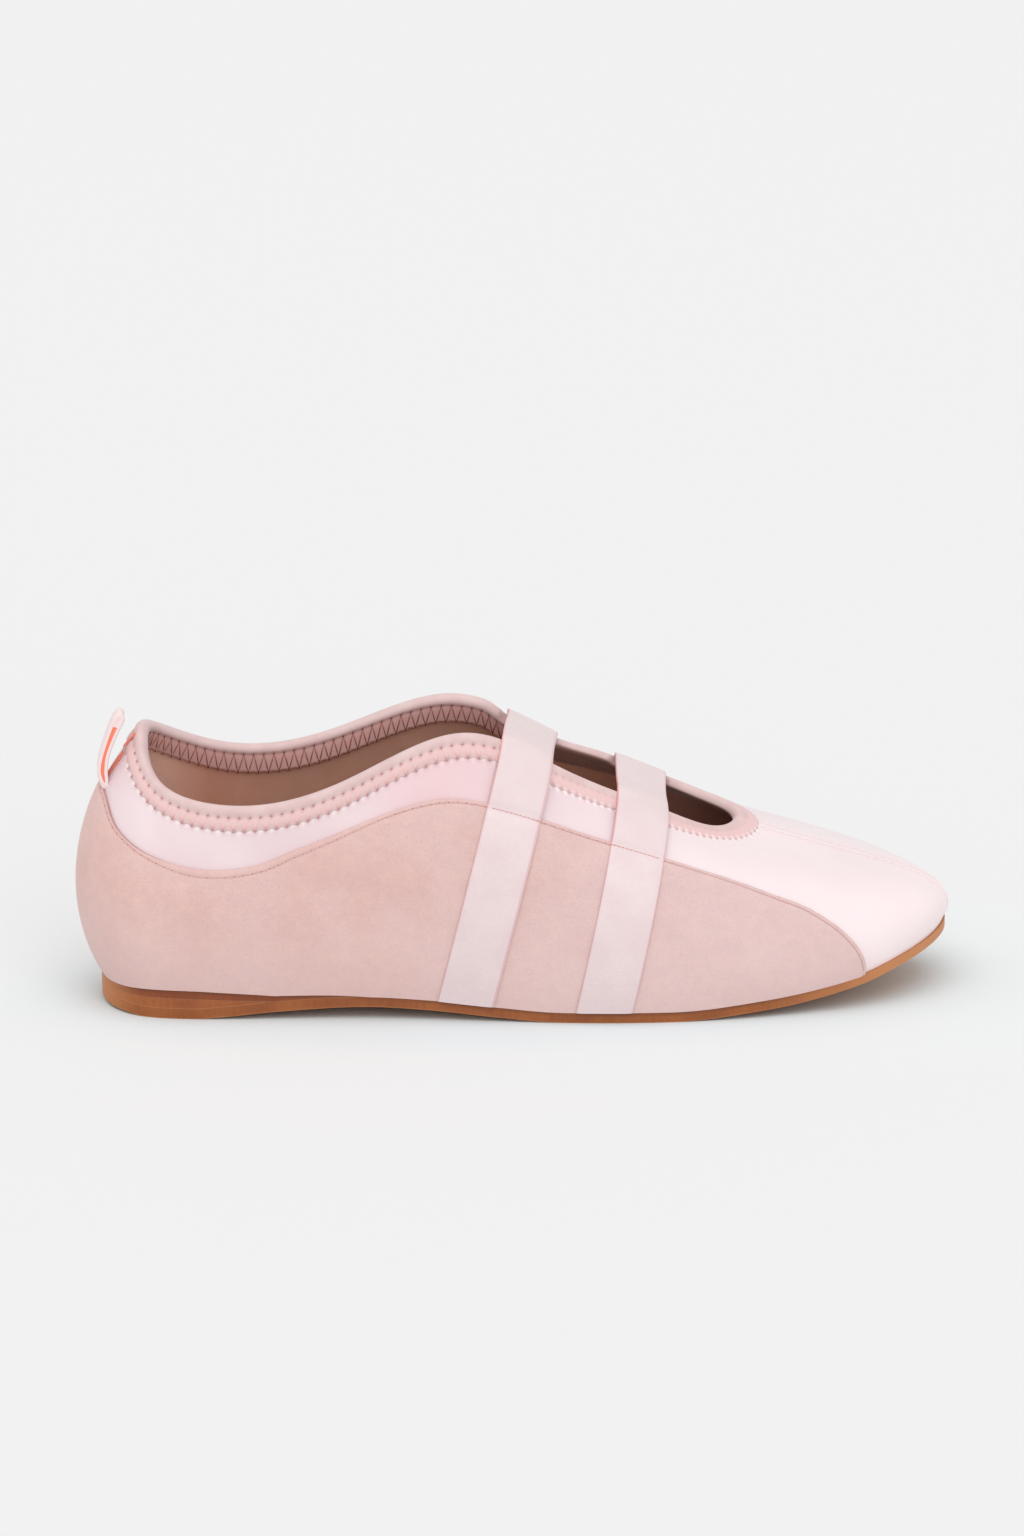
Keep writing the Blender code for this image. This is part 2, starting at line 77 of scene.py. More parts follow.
# %% The ribs of the last
# One row for each rib, which climbs the wall from the feather edge, where the wall meets the sole,
# to the topline. Distances along the shoe are shares of LENGTH, widths and handles of BALL_WIDTH,
# and heights of COLLAR_HEIGHT.
RIB_COLUMNS = (
    "foot_x", "foot_lateral", "foot_medial",
    "top_x", "top_lateral", "top_medial", "top_z_lateral", "top_z_medial",
    "bulge_lateral", "bulge_medial", "rise_lateral", "rise_medial", "roll", "drop",
)
RIBS = {
    "heel_back":   (-0.4705, 0.000, 0.000, -0.425, 0.000, 0.000, 0.963, 0.963,
                    0.137, 0.137, 0.224, 0.224, 0.267, 0.267),
    "heel_corner": (-0.4440, 0.222, 0.222, -0.408, 0.170, 0.179, 0.824, 0.952,
                    0.118, 0.118, 0.260, 0.260, 0.160, 0.260),
    "heel_side":   (-0.3700, 0.310, 0.310, -0.341, 0.296, 0.286, 0.760, 0.854,
                    0.090, 0.090, 0.260, 0.260, 0.080, 0.250),
    "waist":       (-0.1970, 0.357, 0.288, -0.205, 0.338, 0.332, 0.841, 0.871,
                    0.084, 0.084, 0.280, 0.280, 0.063, 0.250),
    "instep":      (-0.0100, 0.445, 0.374, -0.069, 0.299, 0.279, 1.002, 1.009,
                    0.060, 0.060, 0.320, 0.320, 0.138, 0.290),
    "ball":        (0.1650, 0.494, 0.484, 0.045, 0.266, 0.280, 0.858, 0.872,
                    0.055, 0.055, 0.260, 0.260, 0.190, 0.210),
    "toe_side":    (0.3350, 0.427, 0.454, 0.155, 0.207, 0.210, 0.694, 0.732,
                    0.064, 0.049, 0.220, 0.188, 0.230, 0.140),
    "toe_corner":  (0.4440, 0.278, 0.306, 0.226, 0.123, 0.132, 0.598, 0.654,
                    0.094, 0.147, 0.210, 0.231, 0.280, 0.110),
    "toe_tip":     (0.4950, -0.025, 0.025, 0.257, -0.005, 0.005, 0.617, 0.617,
                    0.132, 0.132, 0.183, 0.183, 0.342, 0.150),
}

# %% The sole, the overlay's edge, the straps and the tab
# Heights in millimetres against shares of LENGTH. A lift runs out where its thickness passes zero.
SOLE_COLUMNS = ("x", "underside", "lower_lift", "upper_lift")
SOLE = {
    "heel_back":     (-0.476, 1.3, 2.1, 2.1),
    "heel_edge":     (-0.447, 0.6, 2.5, 2.35),
    "heel_tread":    (-0.424, 0.0, 2.95, 2.6),
    "heel_flat":     (-0.374, 0.0, 2.8, 2.7),
    "heel_front":    (-0.334, 0.8, 1.7, 2.5),
    "lower_end":     (-0.282, 2.2, 0.0, 1.9),
    "upper_end":     (-0.174, 3.7, -3.0, 0.0),
    "waist":         (-0.109, 3.0, -3.0, -1.5),
    "shank_front":   (-0.034, 1.3, -3.0, -1.5),
    "ball_back":     (0.043, 0.0, -3.0, -1.5),
    "ball_front":    (0.161, 0.0, -3.0, -1.5),
    "tread_end":     (0.264, 2.0, -3.0, -1.5),
    "toe_spring":    (0.380, 6.6, -3.0, -1.5),
    "toe_underside": (0.433, 10.6, -3.0, -1.5),
    "toe_tip":       (0.498, 15.2, -3.0, -1.5),
}

# turn: how far round the shoe from the heel back. climb: how far up the wall.
QUARTER_EDGE = {
    "heel_back":   (0.000, 0.797),
    "tab_side":    (0.011, 0.794),
    "heel_corner": (0.029, 0.746),
    "heel_side":   (0.053, 0.708),
    "dip":         (0.079, 0.691),
    "rise":        (0.106, 0.715),
    "arch":        (0.132, 0.770),
    "waist":       (0.180, 0.797),
    "crest":       (0.213, 0.789),
    "instep":      (0.264, 0.752),
    "ball":        (0.331, 0.725),
    "vamp":        (0.363, 0.687),
    "toe_side":    (0.3935, 0.602),
    "shoulder":    (0.4075, 0.498),
    "nose":        (0.4135, 0.420),
    "front":       (0.4155, 0.300),
}

# A strap's middle runs where x = start + lean * z + skew * y.
STRAPS = {
    "strap_rear":  (-14.6 * MM, 0.25, 0.115),
    "strap_front": (24.4 * MM, 0.21, 0.080),
}

# The pull tab's ribbon in the plane of the back seam, x and z in millimetres.
TAB_LOOP = {
    "outer_foot":  (-119.5, 66.0),
    "outer_low":   (-120.1, 68.8),
    "outer_mid":   (-118.9, 74.2),
    "outer_high":  (-117.0, 79.6),
    "shoulder":    (-115.3, 83.2),
    "top":         (-113.6, 84.7),
    "nose":        (-112.6, 83.6),
    "inner_high":  (-113.5, 81.0),
    "inner_mid":   (-115.9, 75.8),
    "inner_low":   (-117.5, 70.2),
    "inner_foot":  (-118.5, 65.8),
}
print(len(RIBS), "ribs,", len(SOLE), "sole stations")


# %% Curves through few points
def monotone(at, xs, ys):
    """A smooth curve through a few points that never overshoots them, so flats stay flat."""
    at, xs, ys = np.clip(at, xs[0], xs[-1]), np.asarray(xs), np.asarray(ys)
    run, slope = np.diff(xs), np.diff(ys) / np.diff(xs)
    tangent = np.zeros(len(xs))
    same = slope[:-1] * slope[1:] > 0
    first, second = 2 * run[1:] + run[:-1], run[1:] + 2 * run[:-1]
    with np.errstate(divide="ignore", invalid="ignore"):
        harmonic = (first + second) / (first / slope[:-1] + second / slope[1:])
    tangent[1:-1] = np.where(same, harmonic, 0)
    tangent[0], tangent[-1] = slope[0], slope[-1]
    i = np.clip(np.searchsorted(xs, at, side="right") - 1, 0, len(run) - 1)
    t = (at - xs[i]) / run[i]
    start = ys[i] * (1 + 2 * t) * (1 - t) ** 2 + run[i] * tangent[i] * t * (1 - t) ** 2
    end = ys[i + 1] * t * t * (3 - 2 * t) - run[i] * tangent[i + 1] * t * t * (1 - t)
    return start + end


def bezier(start, leaving, arriving, end, t):
    """A cubic curve from start to end, drawn out towards its two handles."""
    first = start * (1 - t) ** 3 + 3 * leaving * t * (1 - t) ** 2
    return first + 3 * arriving * t * t * (1 - t) + end * t**3


KNOT_POWER = 0.75  # 1 would space the knots as the rows are spaced, 0 evenly


def closed_spline(values):
    """A function of turn, from 0 to 1, that passes smoothly through rows set round a loop."""
    step = np.linalg.norm(np.roll(values, -1, axis=0)[:, :2] - values[:, :2], axis=1) ** KNOT_POWER
    step = step / step.sum()
    knots = np.concatenate([[0], np.cumsum(step)[:-1]])
    count = len(values)
    system, right = np.zeros((count, count)), np.zeros_like(values)
    slope = (np.roll(values, -1, axis=0) - values) / step[:, None]
    for i in range(count):
        system[i, i - 1] += step[i - 1]
        system[i, i] += 2 * (step[i - 1] + step[i])
        system[i, (i + 1) % count] += step[i]
        right[i] = 6 * (slope[i] - slope[i - 1])
    bend = np.linalg.solve(system, right)

    def value(turn):
        turn = np.asarray(turn, float) % 1.0
        i = np.searchsorted(knots, turn, side="right") - 1
        j = (i + 1) % count
        run = step[i][..., None]
        after = (turn - knots[i])[..., None]
        before = run - after
        curve = (bend[i] * before**3 + bend[j] * after**3) / (6 * run)
        line_i = (values[i] / run - bend[i] * run / 6) * before
        line_j = (values[j] / run - bend[j] * run / 6) * after
        return curve + line_i + line_j

    return value


def lengths(path):
    """How far along a path of points each point lies."""
    return np.concatenate([[0], np.cumsum(np.linalg.norm(np.diff(path, axis=0), axis=1))])


def smooth_step(value, low, high):
    """0 below low, 1 above high, and a soft slope between them."""
    t = np.clip((value - low) / (high - low), 0, 1)
    return t * t * (3 - 2 * t)


# %% Heights of the sole
def read_off(table, at, column=1):
    """A smooth curve through one column of a table, against its first column."""
    rows = np.array(list(table.values()))
    return monotone(at, rows[:, 0], rows[:, column])


def sole_profile(column, x):
    """One column of SOLE at a place along the shoe."""
    return np.maximum(read_off(SOLE, x / LENGTH, SOLE_COLUMNS.index(column)), 0.0) * MM


def layer_top(x, layers):
    """The height of the outsole's top, or of the lower or upper lift's, for 0, 1 or 2 layers."""
    height = sole_profile("underside", x) + OUTSOLE
    for column in SOLE_COLUMNS[2 : 2 + layers]:
        height = height + sole_profile(column, x)
    return height


def bed(x):
    """The height at which the upper and the insole stand."""
    return layer_top(x, 2) + CLEARANCE


print("sole under the heel:", round(float(layer_top(-0.1, 2)) / MM, 1), "mm")


# %% The wall of the last
def rib_loop():
    """The ribs in order round the shoe, each as: foot x, y, top x, y, z, bulge, rise, roll, drop."""
    columns = "foot_x foot_{0} top_x top_{0} top_z_{0} bulge_{0} rise_{0} roll drop"
    rows = []
    for flank, side, names in (("lateral", -1, list(RIBS)), ("medial", 1, list(RIBS)[-2:0:-1])):
        wide = side * BALL_WIDTH
        sizes = np.array([LENGTH, wide, LENGTH, wide, COLLAR_HEIGHT] + 4 * [BALL_WIDTH])
        picked = [RIB_COLUMNS.index(column) for column in columns.format(flank).split()]
        rows += [np.array(RIBS[name])[picked] * sizes for name in names]
    return np.array(rows)


ribs_round = closed_spline(rib_loop())
NEAR_TURN = 0.001  # steps small enough to take a direction over
NEAR_SHARE = 0.002
RIM_CLIMB = 0.97  # the wall's course at the rim is taken from here up
RIM_PULL = 1.9 * MM  # how far the rear strap pulls the medial rim down
PULL_TURN = 0.6975  # at the strap's middle
PULL_AHEAD = (0.014, 0.062)  # how far from there the rim begins and ends to rise again
PULL_BEHIND = (0.017, 0.038)


def unit(vectors):
    return vectors / np.linalg.norm(vectors, axis=-1, keepdims=True)


def alike(*values):
    """The values as arrays of one shape."""
    return np.broadcast_arrays(*(np.asarray(value, float) for value in values))


def wall(turn, climb):
    """A point of the upper's outer surface: turn goes round from the heel back along the lateral
    side, and climb goes up from the feather edge (0) to the topline (1)."""
    turn, climb = alike(turn, climb)
    row = ribs_round(turn)
    ahead = unit(ribs_round(turn + NEAR_TURN)[..., :2] - ribs_round(turn - NEAR_TURN)[..., :2])
    outward = np.stack([ahead[..., 1], -ahead[..., 0], np.zeros_like(turn)], axis=-1)
    up = np.array([0.0, 0.0, 1.0])
    foot = np.stack([row[..., 0], row[..., 1], bed(row[..., 0])], axis=-1)
    behind = turn % 1 - PULL_TURN
    pulled = 1 - np.maximum(smooth_step(-behind, *PULL_AHEAD), smooth_step(behind, *PULL_BEHIND))
    top = row[..., 2:5] - up * RIM_PULL * pulled[..., None]
    leaving = foot + outward * row[..., 5:6] + up * row[..., 6:7]
    arriving = top + outward * row[..., 7:8] - up * row[..., 8:9]
    return bezier(foot, leaving, arriving, top, climb[..., None])


def wall_normal(turn, climb):
    """The outward direction of the upper's surface."""
    along = wall(turn + NEAR_SHARE, climb) - wall(turn - NEAR_SHARE, climb)
    above, below = np.minimum(climb + NEAR_SHARE, 1), np.maximum(climb - NEAR_SHARE, 0)
    return unit(np.cross(along, wall(turn, above) - wall(turn, below)))


def shell(turn, climb, out):
    """A point at a distance out from the upper's outer surface, negative inside it."""
    turn, climb = alike(turn, climb)
    return wall(turn, climb) + wall_normal(turn, climb) * np.asarray(out)[..., None]


print("topline at the instep:", np.round(wall(0.25, 1.0) / MM, 1))

# %% Down from the topline
# What is sewn along the topline is measured down from it, so the lengths of many ribs are kept.
RIB_TURNS = 720
RIB_STEPS = 60
rib_climbs = np.linspace(1, 0, RIB_STEPS + 1)
rib_points = wall((np.arange(RIB_TURNS) / RIB_TURNS)[:, None], rib_climbs[None, :])
rib_runs = np.cumsum(np.linalg.norm(np.diff(rib_points, axis=1), axis=2), axis=1)
rib_runs = np.concatenate([np.zeros((RIB_TURNS, 1)), rib_runs], axis=1)


def climb_below(turn, down):
    """The climb of points this far below the topline, along the wall."""
    turn, down = alike(turn, down)
    place = (turn % 1) * RIB_TURNS
    first = np.floor(place).astype(int)
    climb = np.zeros(turn.shape)
    for rib, weight in ((first, first + 1 - place), (first + 1, place - first)):
        runs = rib_runs[rib % RIB_TURNS]
        step = np.clip((runs <= down[..., None]).sum(-1) - 1, 0, RIB_STEPS - 1)[..., None]
        near = np.take_along_axis(runs, step, -1)[..., 0]
        far = np.take_along_axis(runs, step + 1, -1)[..., 0]
        share = np.clip((down - near) / (far - near), 0, 1)
        climb += weight * (rib_climbs[step[..., 0]] - share / RIB_STEPS)
    return climb


def by_topline(turn, down, out):
    """A point below the topline, or past it where down is negative, and out from the wall."""
    turn, down, out = alike(turn, down, out)
    point = shell(turn, climb_below(turn, np.maximum(down, 0)), out)
    along = unit(wall(turn, 1.0) - wall(turn, RIM_CLIMB))
    return point + along * np.maximum(-down, 0)[..., None]


def from_heel(turn):
    """The turn from the heel back along either side, up to 0.5 at the toe."""
    return np.minimum(turn % 1, 1 - turn % 1)


def quarter_edge(turn):
    """How far up the wall the suede overlay reaches."""
    return read_off(QUARTER_EDGE, from_heel(turn))


# %% [markdown]
# ## The bench
#
# Cloth could be modelled face by face, but a pattern piece is easier to make the way a cutter does.
# A grid primitive is the flat cloth. Each of its corners is then laid on the shoe by a function of
# where it was in the cloth, and the cloth's own lengths are kept as its UV map, so that threads and
# ribs follow the piece. Solidify gives the real thickness.

# %% Handling one piece
def select_only(piece):
    """The next operator acts on this piece alone."""
    bpy.ops.object.select_all(action="DESELECT")
    piece.select_set(True)
    bpy.context.view_layer.objects.active = piece


def points_of(piece):
    points = np.empty(len(piece.data.vertices) * 3, np.float32)
    piece.data.vertices.foreach_get("co", points)
    return points.reshape(-1, 3).astype(float)


def put_points(piece, points):
    piece.data.vertices.foreach_set("co", np.asarray(points, np.float32).ravel())
    piece.data.update()


def in_edit_mode(piece, *steps):
    """Runs edit-mode operators, each a function, on the whole of a piece."""
    select_only(piece)
    bpy.ops.object.mode_set(mode="EDIT")
    bpy.ops.mesh.select_all(action="SELECT")
    for step in steps:
        step()
    bpy.ops.object.mode_set(mode="OBJECT")


# %% Flat cloth, laid on the shoe
def add(name, operator, **settings):
    """What an operator adds, under its name and alone in the selection."""
    bpy.ops.object.select_all(action="DESELECT")
    operator(**settings)
    piece = bpy.context.object
    piece.name = piece.data.name = name
    return piece


def cut(name, columns, rows):
    """Flat cloth, and how far across and up it each corner lies, from 0 to 1."""
    grid = {"x_subdivisions": columns, "y_subdivisions": rows, "size": 1}
    cloth = add(name, bpy.ops.mesh.primitive_grid_add, location=(0.5, 0.5, 0), **grid)
    bpy.ops.object.transform_apply(location=True)
    return cloth, *points_of(cloth).T[:2]


def lay(cloth, points):
    """Puts each corner of flat cloth at its point, and keeps the cloth's lengths along and up it,
    in metres, as its UV map."""
    up = points_of(cloth)[:, 1]
    net = points.reshape(-1, (up == up[0]).sum(), 3)
    put_points(cloth, points)
    lengthwise = np.broadcast_to(lengths(net[len(net) // 2]), net.shape[:2])
    steps = np.linalg.norm(np.diff(net, axis=0, prepend=net[:1]), axis=2)
    measured = np.stack([lengthwise, np.cumsum(steps, axis=0)], axis=2).reshape(-1, 2)
    corners = np.empty(len(cloth.data.loops), np.int32)
    cloth.data.loops.foreach_get("vertex_index", corners)
    cloth.data.uv_layers[0].data.foreach_set("uv", measured[corners].astype(np.float32).ravel())


MEETING = 0.01 * MM


def weld(piece):
    """Merges the corners that meet, such as where a strip of cloth closes into a ring."""
    in_edit_mode(piece, lambda: bpy.ops.mesh.remove_doubles(threshold=MEETING))


def face_out(piece):
    in_edit_mode(piece, lambda: bpy.ops.mesh.normals_make_consistent(inside=False))


# %% Thickness, notes and the last steps
def thicken(piece, thickness, side):
    """Gives cloth its thickness: outward with side 1, inward with -1."""
    select_only(piece)
    solid = piece.modifiers.new("thickness", "SOLIDIFY")
    solid.thickness = thickness
    solid.offset = side
    bpy.ops.object.modifier_apply(modifier=solid.name)


def note(piece, **numbers):
    """Keeps numbers at each point, under their names, for a material to read."""
    for name, values in numbers.items():
        attribute = piece.data.attributes.new(name, "FLOAT", "POINT")
        attribute.data.foreach_set("value", np.asarray(values, np.float32))


def finish_piece(piece, material, slot, *nodes, sharp=50):
    """The last steps of every piece: shading, material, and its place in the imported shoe."""
    select_only(piece)
    bpy.ops.object.shade_smooth_by_angle(angle=math.radians(sharp))
    if not piece.data.materials:
        piece.data.materials.append(material)
    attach(piece, "root")
    if nodes:
        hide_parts(*nodes)
    triangles = sum(len(face.vertices) - 2 for face in piece.data.polygons)
    print(f"{piece.name}: {triangles} triangles")
    return piece


# %% Distances to a line on the shoe
LINE_STEP = 0.25 * MM


def taken_at(at, run, rows):
    """The rows kept for each point of a path, read at lengths along it."""
    return np.stack([np.interp(at, run, column) for column in rows.T], axis=1)


def evenly(path, step=LINE_STEP):
    """The same path with a point every step."""
    run = lengths(path)
    return taken_at(np.linspace(0, run[-1], max(2, int(run[-1] / step))), run, path)


def distances(points, path):
    """How far each point lies from a path, and how far along the path it is nearest."""
    path = evenly(path)
    tree = kdtree.KDTree(len(path))
    for i, point in enumerate(path):
        tree.insert(point, i)
    tree.balance()
    found = [tree.find(point)[1:] for point in points]
    return np.array([row[1] for row in found]), lengths(path)[[row[0] for row in found]]


def bump_at(distance, width):
    """A soft rise of height 1 where the distance is 0."""
    return np.exp(-((distance / width) ** 2))


def ripple(count):
    """1 at each whole number and 0 halfway between."""
    return 0.5 + 0.5 * np.cos(math.tau * count)


# %% [markdown]
# ## Finishes as arithmetic
#
# A finish can be wired by dragging nodes, but the sums behind a weave read better as a formula. A
# small class wraps a socket, so that `1 - mask` adds its Math node, and every other kind of node
# comes from one method. What varies feeds only the colour, the roughness and the bump. What is the
# same all over is set on the shader's own socket.

# %% A socket that does sums
def sums(operation, turned=False):
    """A method that adds one Math node, with its values in turned order if need be."""
    def method(wire, *others):
        values = (*others, wire) if turned else (wire, *others)
        return wire.finish.node("ShaderNodeMath", {"operation": operation}, dict(enumerate(values)))

    return method


class Wire:
    """A number on its way through the nodes."""

    def __init__(self, finish, socket):
        self.finish = finish
        self.socket = socket

    __add__ = __radd__ = sums("ADD")
    __mul__ = __rmul__ = sums("MULTIPLY")
    __sub__, __rsub__ = sums("SUBTRACT"), sums("SUBTRACT", turned=True)
    __truediv__, __pow__ = sums("DIVIDE"), sums("POWER")
    size, sine = sums("ABSOLUTE"), sums("SINE")

    def wave(self, length):
        """0 to 1 and back over each length."""
        return (self * (math.tau / length)).sine() * 0.5 + 0.5

    def over(self, low, high):
        """0 below low and 1 above high."""
        settings = {"interpolation_type": "SMOOTHSTEP"}
        return self.finish.node("ShaderNodeMapRange", settings, {0: self, 1: low, 2: high})


# %% A finish
class Finish:
    """One material and the nodes that make it."""

    def __init__(self, name, surface):
        self.material = bpy.data.materials.new(name)
        self.material.use_nodes = True
        self.tree = self.material.node_tree
        self.surface = self.tree.nodes["Principled BSDF"]
        for socket, value in surface.items():
            self.surface.inputs[socket].default_value = value

    def node(self, kind, settings, inputs, output=0):
        """A node with its settings made first and its sockets filled or linked after."""
        made = self.tree.nodes.new(kind)
        for name, value in settings.items():
            setattr(made, name, value)
        for socket, value in inputs.items():
            if isinstance(value, Wire):
                self.tree.links.new(value.socket, made.inputs[socket])
            else:
                made.inputs[socket].default_value = value
        return Wire(self, made.outputs[output])

    def feed(self, socket, wire):
        self.tree.links.new(wire.socket, self.surface.inputs[socket])

    def cloth(self):
        """The lengths along and up the cloth, in metres."""
        uv = self.node("ShaderNodeUVMap", {"uv_map": "UVMap"}, {})
        return [self.node("ShaderNodeSeparateXYZ", {}, {0: uv}, output) for output in (0, 1)]

    def place(self):
        """The point in the shoe."""
        return self.node("ShaderNodeTexCoord", {}, {}, "Object")

    def axis(self, k):
        """How far the point lies along the shoe (0), across it (1) or up (2)."""
        return self.node("ShaderNodeSeparateXYZ", {}, {0: self.place()}, k)

    def forward(self, back, front):
        """0 behind one place along the shoe and 1 ahead of another."""
        return self.axis(0).over(back, front)

    def low(self, bottom, top):
        """1 near the floor and 0 above a height, where a pale floor lights the cloth from below."""
        return 1 - self.axis(2).over(bottom, top)

    def noted(self, name):
        """A number that the piece keeps at its points."""
        return self.node("ShaderNodeAttribute", {"attribute_name": name}, {}, "Fac")

    def noise(self, grain, detail=2.0, roughness=0.5, at=None):
        """Cloudy values from 0 to 1, with clouds about as wide as the grain."""
        at = at or self.place()
        inputs = {"Vector": at, "Scale": 1 / grain, "Detail": detail, "Roughness": roughness}
        return self.node("ShaderNodeTexNoise", {}, inputs, "Fac")

    def mix(self, share, first, second):
        """One colour towards another."""
        first, second = (c if isinstance(c, Wire) else (*c, 1.0) for c in (first, second))
        return self.node("ShaderNodeMix", {"data_type": "RGBA"}, {0: share, 6: first, 7: second}, 2)

    def coats(self, color, *over):
        """A colour under others, each laid over the last by its share."""
        for share, coat in over:
            color = self.mix(share, color, coat)
        return color

    def paint(self, color, *over):
        self.feed("Base Color", self.coats(color, *over))

    def bump(self, height, depth):
        """Shades the surface as if height 1 stood this depth, in metres, above height 0."""
        inputs = {"Height": height, "Distance": depth, "Strength": 1.0}
        self.feed("Normal", self.node("ShaderNodeBump", {}, inputs))


def plain(name, color, roughness, specular=0.5):
    """A finish of one colour, for thread and other things too small to show more."""
    surface = {"Base Color": (*color, 1.0), "Roughness": roughness, "Specular IOR Level": specular}
    return Finish(name, surface).material


# %% [markdown]
# ## Where the needle went
#
# Thread shows on three seams: the zigzag that holds the folded elastic, the row that runs just inside
# the suede's edge and on over the straps, and the two rows beside the vamp's centre seam. One stitch
# is modelled once, six-sided with its ends drawn in and a little arched, and copied along each seam,
# which keeps hundreds of stitches light. Each hole is a small dimple, painted dark as the shade in it.

# %% One stitch and one needle hole
STITCH_RINGS = (
    # length on, size against the last ring, rise in radii
    (0.10, 2.0, 0.50),
    (0.20, 1.2, 0.35),
    (0.40, 1.0, 0.00),
    (0.20, 0.85, -0.35),
    (0.10, 0.5, -0.50),
)


def model_stitch():
    """A stitch of length 1 along X and about radius 1, lying on z = 0."""
    settings = {"vertices": 6, "radius": 0.42, "fill_type": "NGON"}
    stitch = add("stitch_model", bpy.ops.mesh.primitive_circle_add, **settings)

    def extrude():
        bpy.ops.transform.rotate(value=math.pi / 2, orient_axis="Y", center_override=(0, 0, 0))
        for step, size, rise in STITCH_RINGS:
            bpy.ops.mesh.extrude_region_move(TRANSFORM_OT_translate={"value": (step, 0, rise)})
            bpy.ops.transform.resize(value=(1, size, size))

    in_edit_mode(stitch, extrude)
    face_out(stitch)
    return stitch


stitch_model = model_stitch()
hole_model = add("hole_model", bpy.ops.mesh.primitive_uv_sphere_add, segments=8, ring_count=4, radius=1)
print("one stitch has", len(stitch_model.data.polygons), "faces")


# %% Copies along a seam
def repeat(name, model, origins, axes):
    """One mesh of many copies of a model. Each copy has an origin and where its X, Y and Z go."""
    shape = points_of(model)
    points = origins[:, None, :] + np.einsum("nj,kji->kni", shape, axes)
    faces = []
    for k in range(len(origins)):
        faces += [[v + k * len(shape) for v in face.vertices] for face in model.data.polygons]
    mesh = bpy.data.meshes.new(name)
    mesh.from_pydata(points.reshape(-1, 3), [], faces)
    piece = bpy.data.objects.new(name, mesh)
    bpy.context.scene.collection.objects.link(piece)
    return piece


SEWN_IN = 0.3  # radii that a thread lies in the cloth
HOLE_DEPTH = 0.35  # radii


def between(points, normals, gap):
    """A stitch from each point to the next, with a share of it left open at either end: its start,
    its end and the surface's normal."""
    opened = (points[1:] - points[:-1]) * gap
    return points[:-1] + opened, points[1:] - opened, normals[:-1]


def sew(name, starts, ends, normals, radius, material, low=None):
    """Stitches from each start to its end, on a surface with these normals. The radius is one for
    all or one for each. low says how low each start and end lies, from 0 to 1, for a thread that
    is darker there."""
    along = ends - starts
    side = unit(np.cross(normals, along))
    radius = np.asarray(radius)[..., None]
    axes = np.stack([along, side * radius, normals * radius], axis=1)
    piece = repeat(name, stitch_model, starts - normals * radius * SEWN_IN, axes)
    if low is not None:
        share = points_of(stitch_model)[:, 0]
        note(piece, low=(low[0][:, None] * (1 - share) + low[1][:, None] * share).ravel())
    return finish_piece(piece, material, "thread", sharp=80)


def pierce(name, points, normals, radius, material):
    """A needle hole at each point, of one radius or each of its own."""
    side = unit(np.cross(normals, np.array([0.31, 0.17, 0.93])))  # a direction that no normal has
    other = np.cross(normals, side)
    radius = np.asarray(radius)[..., None]
    axes = np.stack([side * radius, other * radius, normals * radius * HOLE_DEPTH], axis=1)
    return finish_piece(repeat(name, hole_model, points, axes), material, "thread", sharp=80)


# %% [markdown]
# ## The topline's stitch count
#
# The zigzag is coarse at the heel and fine round the throat, and must close with a whole number of
# stitches. So the stitches are counted along the topline first, and a place is looked up by its
# stitch. The satin and the elastic both have a fixed number of columns to a stitch, and so their
# puckers fall exactly on the thread.

# %% Stitches round the topline
BAND_TOP = 2.3 * MM  # the zigzag's upper holes, down from the topline
BAND_FOOT = 6.1 * MM  # and its lower holes
HEEL_PITCH = 3.05 * MM
THROAT_PITCH = 2.25 * MM


def at_throat(turn):
    """0 round the heel and 1 round the throat."""
    return smooth_step(from_heel(turn), 0.26, 0.34)


topline_turns = np.linspace(0, 1, 2001)
topline_steps = np.diff(lengths(by_topline(topline_turns, (BAND_TOP + BAND_FOOT) / 2, 0)))
pitches = HEEL_PITCH + (THROAT_PITCH - HEEL_PITCH) * at_throat(topline_turns[1:])
stitch_count = np.concatenate([[0], np.cumsum(topline_steps / pitches)])
ZIGZAGS = round(stitch_count[-1])


def turn_at(stitch):
    """How far round the shoe a stitch lies, counted from the back seam."""
    return np.interp(np.asarray(stitch, float) / ZIGZAGS * stitch_count[-1], stitch_count, topline_turns)


print(ZIGZAGS, "zigzags, from", HEEL_PITCH / MM, "mm at the heel to", THROAT_PITCH / MM, "mm")

# %% Where the straps lie
def ahead_of(strap, points):
    """How far points lie ahead of a strap's middle, along the shoe."""
    start, lean, skew = STRAPS[strap]
    x, y, z = np.moveaxis(points, -1, 0)
    return x - start - lean * z - skew * y


def reach_of(strap):
    """How far a strap reaches from its middle, along the shoe."""
    return STRAP_WIDTH / 2 * math.hypot(1, STRAPS[strap][1])


def on_strap(points, ease=0.5 * MM):
    """1 where a point lies in a strap's band, and softly 0 outside it."""
    inside = np.zeros(len(points))
    for strap in STRAPS:
        off, reach = np.abs(ahead_of(strap, points)), reach_of(strap)
        inside = np.maximum(inside, 1 - smooth_step(off, reach - 0.3 * MM, reach + ease))
    return inside


print("straps start at x =", [round(start / MM, 1) for start, _, _ in STRAPS.values()], "mm")
